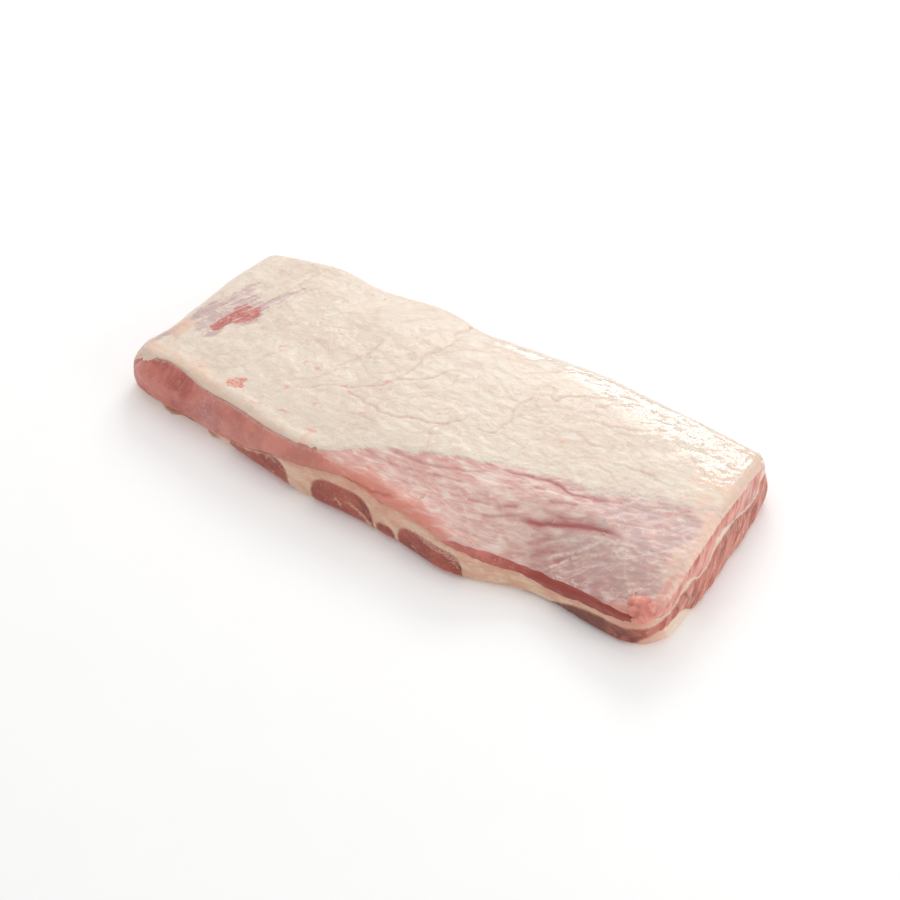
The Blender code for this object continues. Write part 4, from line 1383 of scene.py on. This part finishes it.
def lean_colour(f):
    bundles, marks = f.grain((15, 6, 9), 4.0, "grain", 0.5), f.grain((12, 2.6, 4), 3.0, "grain", 0.4)
    veil, fine = f.grain((17, 6.5, 9), 5.0, "grain", 0.7), f.grain((8, 2.4, 4), 4.0, "grain", 0.5)
    haze = f.guide("haze") * f.step(f.grain((10, 7, 8), 5.0, None, 0.8), 0.34, 0.62)
    # Painted shade that darkens the lean towards the front edge at the right.
    front_edge_shade = f.guide("front_edge_shade") * f.step(f.grain((14, 8, 8), 4.0, None, 0.5), 0.25, 0.60)
    hairs = f.thin_line(f.grain((16, 9, 12), 3.0, None, 1.0), 0.020) * f.step(f.grain(16, 2.0), 0.45, 0.62)
    lines = f.guide("line") * f.step(f.grain((6, 5, 5), 4.0, None, 0.6), 0.30, 0.62)
    ruddy = f.step(f.guide("ruddy") + (f.grain((14, 3.0, 4), 5.0, "grain", 0.6) - 0.5) * 1.7, 0.10, 1.0)
    flush = f.step(f.guide("flush") + (f.grain((5, 4, 4), 4.0) - 0.5) * 0.9, 0.15, 0.80)
    return f.coats(
        f.blend(f.step(bundles, 0.36, 0.66), ROSE, PALE_ROSE),
        (f.step(marks, 0.53, 0.70) * (f.guide("near") * 0.65 + 0.25), DEEP_ROSE),
        (f.step(fine, 0.54, 0.76) * 0.30 * (1 - f.guide("haze") * 0.7), WHITISH),
        (f.step(fine, 0.44, 0.24) * 0.18, DEEP_ROSE),
        (f.guide("warm") * 0.40, shade(212, 148, 138)),
        (f.step(veil, 0.42, 0.70) * 0.66, WHITISH),
        (haze * 0.7, LILAC),
        (front_edge_shade * 0.8, shade(172, 122, 118)),
        (hairs * 0.6, WHITISH),
        (f.guide("fold") * 0.95, shade(178, 94, 92)),
        (lines * 0.6, WHITISH),
        (ruddy * 0.85, ORANGE_RED),
        (flush * 0.75, shade(228, 162, 148)))


# %% Marks on the top
def window_marks(f):
    """The lilac silver skin at the left, the red meat that shows in it, and the white fibres across both."""
    streaks, broken = f.grain((20, 2.4, 5), 4.0, "streak", 0.5), f.grain((7, 5, 6), 5.0, None, 0.8)
    silver = f.step(f.guide("silver") * 0.8 + (streaks - 0.5) * 1.7 + (broken - 0.5) * 1.5, 0.30, 0.95)
    window = f.step(f.guide("window") + (f.grain((9, 3, 4), 4.0, "streak", 0.4) - 0.5) * 1.1, 0.35, 0.62)
    scratches = f.thin_line(f.grain((9, 9, 9), 2.0, None, 1.4), 0.03) * window
    across = f.step(f.grain((22, 1.5, 3), 3.0, "streak", 0.6), 0.55, 0.66)
    across = across * f.step(f.guide("silver") + f.guide("window"), 0.1, 0.6)
    meat = f.blend(f.step(streaks, 0.40, 0.66), BRICK, shade(204, 122, 110))
    return [(silver * 0.68, SILVERY), (window * 0.95, meat), (scratches * 0.5, shade(236, 204, 192)),
            (across * 0.75, shade(236, 214, 204))]


def small_marks(f):
    """Pink and amber spots, and the warm tints of the edges."""
    salmon = f.step(f.guide("salmon") + (f.grain(1.8, 4.0) - 0.5) * 1.4, 0.30, 0.66)
    salmon = salmon * (f.step(f.grain(2.6, 4.0, None, 0.8), 0.36, 0.60) * 0.6 + 0.35)
    blush = f.step(f.guide("blush") + (f.grain(1.8, 4.0) - 0.5) * 1.2, 0.25, 1.05)
    amber = f.step(f.guide("amber") + (f.grain(1.6, 2.0) - 0.5) * 1.0, 0.35, 0.80)
    peach = f.guide("peach") * f.step(f.grain(10, 4.0, None, 0.5), 0.30, 0.65)
    brim = f.guide("brim") * f.step(f.grain((5, 4, 3), 4.0), 0.34, 0.58)
    return [(salmon, SALMON_PINK), (blush * 0.50, shade(228, 146, 128)), (amber * 0.65, shade(228, 168, 122)),
            (peach * 0.75, shade(244, 208, 184)), (brim * 0.8, shade(241, 212, 194))]


def top_colour(f):
    """Cream fat where the rim lies behind, lean in front of it, frayed along the grain between them."""
    fray = (f.grain((9, 3.6, 5), 4.0, "grain", 0.5) - 0.5) * 1.0 + (f.grain((2.6, 1.8, 2), 3.0) - 0.5) * 0.4
    bare = f.step(f.guide("bare") + fray, 0.20, 0.80)
    return f.coats(f.blend(bare, fat_colour(f), lean_colour(f)), *window_marks(f), *small_marks(f))


# %% Fine relief and shine of the top
def top_height(f):
    """Fine relief of the top: pores, dents and hairlines in the fat, fibres in the lean."""
    pores = f.grain((1.5, 1.2, 1.4), 4.0) * 0.5 + f.grain((4.5, 3.2, 4), 4.0, None, 0.5) * 1.1
    pores = pores - f.thin_line(f.grain((10, 6, 8), 3.0, None, 0.9), 0.035) * 0.3
    wet_ripple = f.guide("wet") * f.grain((2.0, 0.9, 1.5), 3.0, None, 0.5) * 1.7
    pores = pores * (1 - f.guide("wet") * 0.6) + wet_ripple
    fibres = f.grain((10, 3, 4), 4.0, "grain", 0.5) * (1.1 - f.guide("haze") * 0.7)
    fibres = fibres + f.grain((4, 3, 3), 4.0) * 0.5
    bare = f.guide("bare")
    return pores * (1 - bare) + fibres * bare


def top_roughness(f):
    """Moist everywhere, wet towards the back and the right."""
    return 0.50 - f.guide("sheen") * 0.10 - f.guide("wet") * 0.20 + (f.grain((6, 4, 5), 3.0) - 0.5) * 0.22


def top_gloss(f):
    """A film of water that breaks up into small patches."""
    return f.guide("wet") * f.step(f.grain((1.8, 1.1, 1.5), 4.0, None, 0.6), 0.39, 0.53) * 0.95 + 0.10


# %% [markdown]
# ## Fat on the cover
#
# Light sinks into fat and comes back soft, so the shader scatters it under the surface. Where the sheet
# is cut, at the back and the right end, it is a little more tan than on its top. Its coat stands for
# the water on it.

# %% Fat finish
FLESH_DEPTH = dict(Subsurface_Weight=0.25, Subsurface_Radius=(1.0, 0.45, 0.3), Subsurface_Scale=0.004)
fat = Finish("Cream fat", Coat_Roughness=0.10, **FLESH_DEPTH)
fat.plug(fat.shader.inputs["Coat Weight"], top_gloss(fat))
edge = fat.guide("side") + fat.guide("brim") * 0.6 + (fat.grain((7, 6, 4), 4.0) - 0.5) * 0.9
edge = fat.step(edge, 0.2, 0.9)
fat.bump(top_height(fat), 0.38)
fat.cover(fat.blend(edge * 0.6, top_colour(fat), shade(234, 192, 168)), top_roughness(fat))
fat_cover.data.materials.append(fat.material)
print("fat:", len(fat.tree.nodes), "nodes")

# %% [markdown]
# ## Raw meat on the muscle
#
# The cut side is brick red with a damp shine. Pale specks and soft streaks run slantwise over it, it
# pales where membrane clings near the top edge; painted shade darkens it where it folds in towards a seam.

# %% Cut meat
def cut_meat(f, deep, plain, pale):
    streaks = f.grain((20, 3.4, 6), 4.0, "slant", 0.5)
    patches, fine = f.grain(18, 3.0), f.grain((3, 3, 2.2), 4.0)
    specks = f.step(f.cells((2.6, 2.6, 1.6)), 0.24, 0.10) * f.step(f.grain(9, 2.0), 0.55, 0.68)
    # At the right end the meat is paler in streaks: partly its own striations, partly painted light on the
    # end that faces the light.
    ends = f.guide("end") * f.step(f.grain((22, 6, 8), 5.0, "slant", 0.7), 0.36, 0.62)
    flecks = f.guide("end") * f.step(f.grain((8, 2.0, 5), 4.0, "slant", 0.9), 0.58, 0.70)
    thread = f.guide("end") * f.step(f.guide("seam") + (f.grain(3, 3.0) - 0.5) * 0.7, 0.62, 0.95)
    return f.coats(
        f.blend(f.step(patches, 0.34, 0.66), plain, deep),
        (f.step(streaks, 0.50, 0.76) * 0.22, pale),
        (f.step(streaks, 0.44, 0.26) * 0.25, deep),
        (f.step(fine, 0.54, 0.78) * 0.3, pale),
        (specks * 0.6, shade(238, 204, 192)),
        # Painted shade where the side folds in towards a seam.
        (f.guide("seam") * 0.30, deep),
        (ends * 0.8, pale),
        (flecks * 0.6, shade(238, 206, 186)),
        (thread * 0.8, shade(242, 218, 198)))


# %% Muscle finish
flesh = Finish("Raw muscle", Coat_Roughness=0.12, **FLESH_DEPTH)
side, end = flesh.guide("side"), flesh.guide("end")
# Painted shade that darkens the red band towards the front edge at the right.
front_edge_shade = flesh.step(flesh.guide("front_edge_shade"), 0.2, 0.9) * (1 - end) * 0.82
red = flesh.coats(
    cut_meat(flesh, shade(182, 94, 84), shade(211, 126, 113), shade(234, 172, 156)),
    (flesh.guide("light") * 0.36, shade(231, 164, 145)),
    (front_edge_shade, shade(150, 48, 32)))
frayed = flesh.step(side + (flesh.grain((9, 3, 2.4), 3.0) - 0.5) * 0.5, 0.32, 0.62)
lip = flesh.guide("lip") * flesh.step(flesh.grain((4, 2, 2), 3.0), 0.3, 0.6)
colour = flesh.coats(
    flesh.blend(frayed, top_colour(flesh), red),
    (lip * 0.55, shade(220, 182, 174)),
    # Painted shade in the folds and slits.
    (flesh.guide("dark") * 0.60, shade(182, 72, 60)))
flesh.bump(top_height(flesh) * (1 - side) + flesh.grain((6, 6, 2), 4.0) * side, 0.5)
flesh.plug(flesh.shader.inputs["Coat Weight"], top_gloss(flesh) + side * 0.1)
flesh.cover(colour, top_roughness(flesh) * (1 - side) + (0.32 + flesh.grain(5, 3.0) * 0.2) * side)
muscle.data.materials.append(flesh.material)
print("muscle:", len(flesh.tree.nodes), "nodes")

# %% [markdown]
# ## Fat between the meat
#
# The seam fat is duller and more tan than the cover, with pink veins and soft folds, and it shows meat
# through it where it is thin.

# %% Seam fat finish
inner = Finish("Seam fat", Coat_Weight=0.12, Coat_Roughness=0.2, **FLESH_DEPTH)
end = inner.guide("end")
patches, pale = inner.grain((20, 20, 9), 5.0, None, 0.4), inner.grain((9, 9, 3), 4.0, None, 0.6)
veins = inner.thin_line(inner.grain((22, 22, 7), 4.0, None, 0.8), 0.022)
stains = inner.grain((16, 16, 5), 5.0, None, 0.7) + inner.guide("ruddy") * (1 - end) * 0.14
tinted = inner.guide("seam") * inner.step(inner.grain(4, 3.0), 0.35, 0.6) * (1 - end)
corner = inner.step(inner.guide("flush") + (inner.grain((5, 5, 3), 4.0, None, 0.6) - 0.5) * 1.3, 0.3, 0.9)


def arch_rim(f):
    """1 along the border of a strip, where fat and meat run into each other."""
    return f.step(f.guide("arch") + (f.grain(2.4, 3.0) - 0.5) * 1.2, 0.45, 1.0)


colour = inner.coats(
    inner.blend(inner.step(patches, 0.36, 0.64), shade(218, 172, 145), shade(232, 199, 172)),
    (veins * 0.55, shade(212, 136, 116)),
    (inner.step(stains, 0.54, 0.74) * 0.5, shade(228, 162, 140)),
    (inner.step(pale, 0.56, 0.70) * 0.5, shade(240, 212, 188)),
    (tinted * 0.55, shade(222, 152, 130)),
    (end * 0.75, shade(242, 220, 198)),
    (corner * 0.5, shade(220, 146, 128)),
    (arch_rim(inner) * 0.7, shade(196, 128, 108)))
inner.bump(inner.grain((3, 3, 1.8), 4.0) + inner.grain((9, 9, 4), 3.0), 0.45)
inner.cover(colour, 0.40 + inner.grain(6, 3.0) * 0.2)
for piece in [seam_fat, end_fat] + flaps + threads:
    piece.data.materials.append(inner.material)
print("seam fat:", len(inner.tree.nodes), "nodes")

# %% [markdown]
# ## Rib meat
#
# The strips were cut across, so they are darker and smoother than the muscle, with a few pale lines of
# marbling.

# %% Rib meat finish
rib = Finish("Rib meat", Coat_Weight=0.18, Coat_Roughness=0.15, **FLESH_DEPTH)
# Painted shade that darkens the strip towards the front edge at the right, but not on the end.
front_edge_shade = rib.step(rib.guide("front_edge_shade") + (rib.grain((8, 8, 3), 4.0) - 0.5) * 0.6, 0.1, 0.8)
front_edge_shade = front_edge_shade * (1 - rib.guide("end"))
flush = rib.guide("flush") * rib.step(rib.grain((5, 5, 4), 4.0), 0.35, 0.6)
marbling = rib.thin_line(rib.grain((26, 26, 14), 3.0, None, 0.6), 0.012)
marbling = marbling * rib.step(rib.grain(12, 2.0), 0.50, 0.66)
frost = rib.step(rib.guide("frost") + (rib.grain((2, 2, 1.4), 5.0) - 0.5) * 2.6, 0.5, 1.3)
colour = rib.coats(
    cut_meat(rib, shade(150, 62, 46), shade(180, 88, 68), shade(216, 142, 122)),
    (front_edge_shade * 0.85, shade(112, 58, 44)),
    (flush * 0.6, shade(206, 116, 98)),
    (marbling * 0.6, shade(222, 178, 156)),
    (rib.guide("vein") * 0.9, shade(228, 190, 164)),
    (frost * 0.7, shade(222, 172, 158)),
    # Painted shade in the folds and slits; the bump below presses them in.
    (rib.guide("dark") * 0.9, shade(112, 30, 28)),
    (arch_rim(rib) * 0.6, shade(200, 132, 112)))
rib.bump(rib.grain((4, 4, 2), 4.0) - rib.guide("dark") * 0.8, 0.4)
rib.cover(colour, 0.34 + rib.grain(5, 3.0) * 0.2)
for piece in rib_strips:
    piece.data.materials.append(rib.material)

# %% Nub finish
knot = Finish("Nub meat", Coat_Weight=0.12, Coat_Roughness=0.25, **FLESH_DEPTH)
lumps = knot.step(knot.grain((5, 5, 5), 4.0, None, 0.5), 0.35, 0.65)
strands = knot.step(knot.grain((6, 2.4, 2.4), 4.0, None, 0.8), 0.54, 0.72)
colour = knot.coats(
    knot.blend(lumps, shade(216, 134, 118), shade(232, 160, 143)),
    (strands * 0.4, shade(236, 190, 170)),
    # Painted shade darkens the grooves between the lobes.
    (knot.guide("guide") * 0.6, shade(194, 104, 94)))
knot.bump(knot.grain((2.4, 2.4, 2.4), 4.0), 0.3)
knot.cover(colour, 0.32 + knot.grain(3, 2.0) * 0.2)
nub.data.materials.append(knot.material)

# %% [markdown]
# ## Fixing the pieces to the slab
#
# Meat has no joints, so every piece rides on the one body there is. Each detailed layer stands in for
# its imported solid, which stays for collisions, and has a finish of its own.

# %% Bodies
STANDS_FOR = [(fat_cover, "fat_cover", "fat"), (muscle, "upper_muscle", "muscle"),
              (seam_fat, "seam_fat", "inner_fat"), (end_fat, "end_fat", "inner_fat")]
STANDS_FOR += [(piece, f"rib_meat_{n}", "rib_meat") for n, piece in enumerate(rib_strips, 1)]
for piece, node, slot in STANDS_FOR:
    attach(piece, "root")
    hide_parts(node)
for piece, slot in [(nub, "muscle")] + [(piece, "inner_fat") for piece in flaps + threads]:
    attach(piece, "root")
print(len(STANDS_FOR), "layers stand in for packed solids")

# %% [markdown]
# ## Floor, light and camera
#
# Food is shown best in broad, soft light on white. A bright dome fills every side, a large soft lamp
# overhead gives the top its shape, a lamp high behind the slab puts a wet shine on the fat, and a weak
# one fills the right end.

# %% Floor
def floor_sheet(size):
    mesh = bpy.data.meshes.new("floor")
    corners = [(-size, -size, 0), (size, -size, 0), (size, size, 0), (-size, size, 0)]
    mesh.from_pydata(corners, [], [(0, 1, 2, 3)])
    piece = bpy.data.objects.new("floor", mesh)
    bpy.context.scene.collection.objects.link(piece)
    return piece


FLOOR_REACH, UNDER_THE_SLAB = 6.0, 0.0002
floor = floor_sheet(FLOOR_REACH)
floor.location.z = CAD_BOX[0][2] - UNDER_THE_SLAB
paper = Finish("White table", Roughness=0.9, Emission_Strength=0.12)
white = paper.blend(paper.grain(60, 2.0), (0.90, 0.90, 0.90, 1), (0.92, 0.92, 0.92, 1))
paper.plug(paper.shader.inputs["Base Color"], white)
floor.data.materials.append(paper.material)

# %% Light
scene = bpy.context.scene
scene.view_settings.view_transform = "Standard"
world = bpy.data.worlds.new("Studio dome")
world.use_nodes = True
dome = world.node_tree.nodes["Background"].inputs
dome["Color"].default_value, dome["Strength"].default_value = (1.0, 0.995, 0.985, 1), 0.575
scene.world = world


def lamp(name, place, target, size, power):
    light = bpy.data.lights.new(name, "AREA")
    light.shape, light.size, light.size_y, light.energy = "RECTANGLE", size[0], size[1], power
    piece = bpy.data.objects.new(name, light)
    piece.location = place
    piece.rotation_euler = aim(place, target)
    scene.collection.objects.link(piece)


def aim(place, target):
    return (Vector(target) - Vector(place)).to_track_quat("-Z", "Y").to_euler()


lamp("overhead softbox", (-0.3, 0.4, 1.9), (0, 0, 0), (2.2, 2.2), 11.5)
lamp("shine behind", (-0.62, 1.56, 1.1), (0.15, 0.06, 0.05), (1.0, 0.58), 13)
lamp("soft right side", (1.5, 0.1, 0.6), (0.2, 0, 0.03), (1.0, 0.8), 5)

# %% Camera
view = bpy.data.cameras.new("camera")
LENS, SENSOR = 73.84, 36
view.lens, view.sensor_width = LENS, SENSOR
camera = bpy.data.objects.new("camera", view)
azimuth, elevation, distance = math.radians(33), math.radians(42), 1.4591
target = (0.02321, -0.01364, 0.01946)
camera.location = (target[0] + distance * math.sin(azimuth) * math.cos(elevation),
                   target[1] - distance * math.cos(azimuth) * math.cos(elevation),
                   target[2] + distance * math.sin(elevation))
camera.rotation_euler = aim(camera.location, target)
scene.collection.objects.link(camera)
scene.camera = camera

# %% Size and end
print("packed box, mm:", [[round(v / MM, 1) for v in corner] for corner in CAD_BOX])
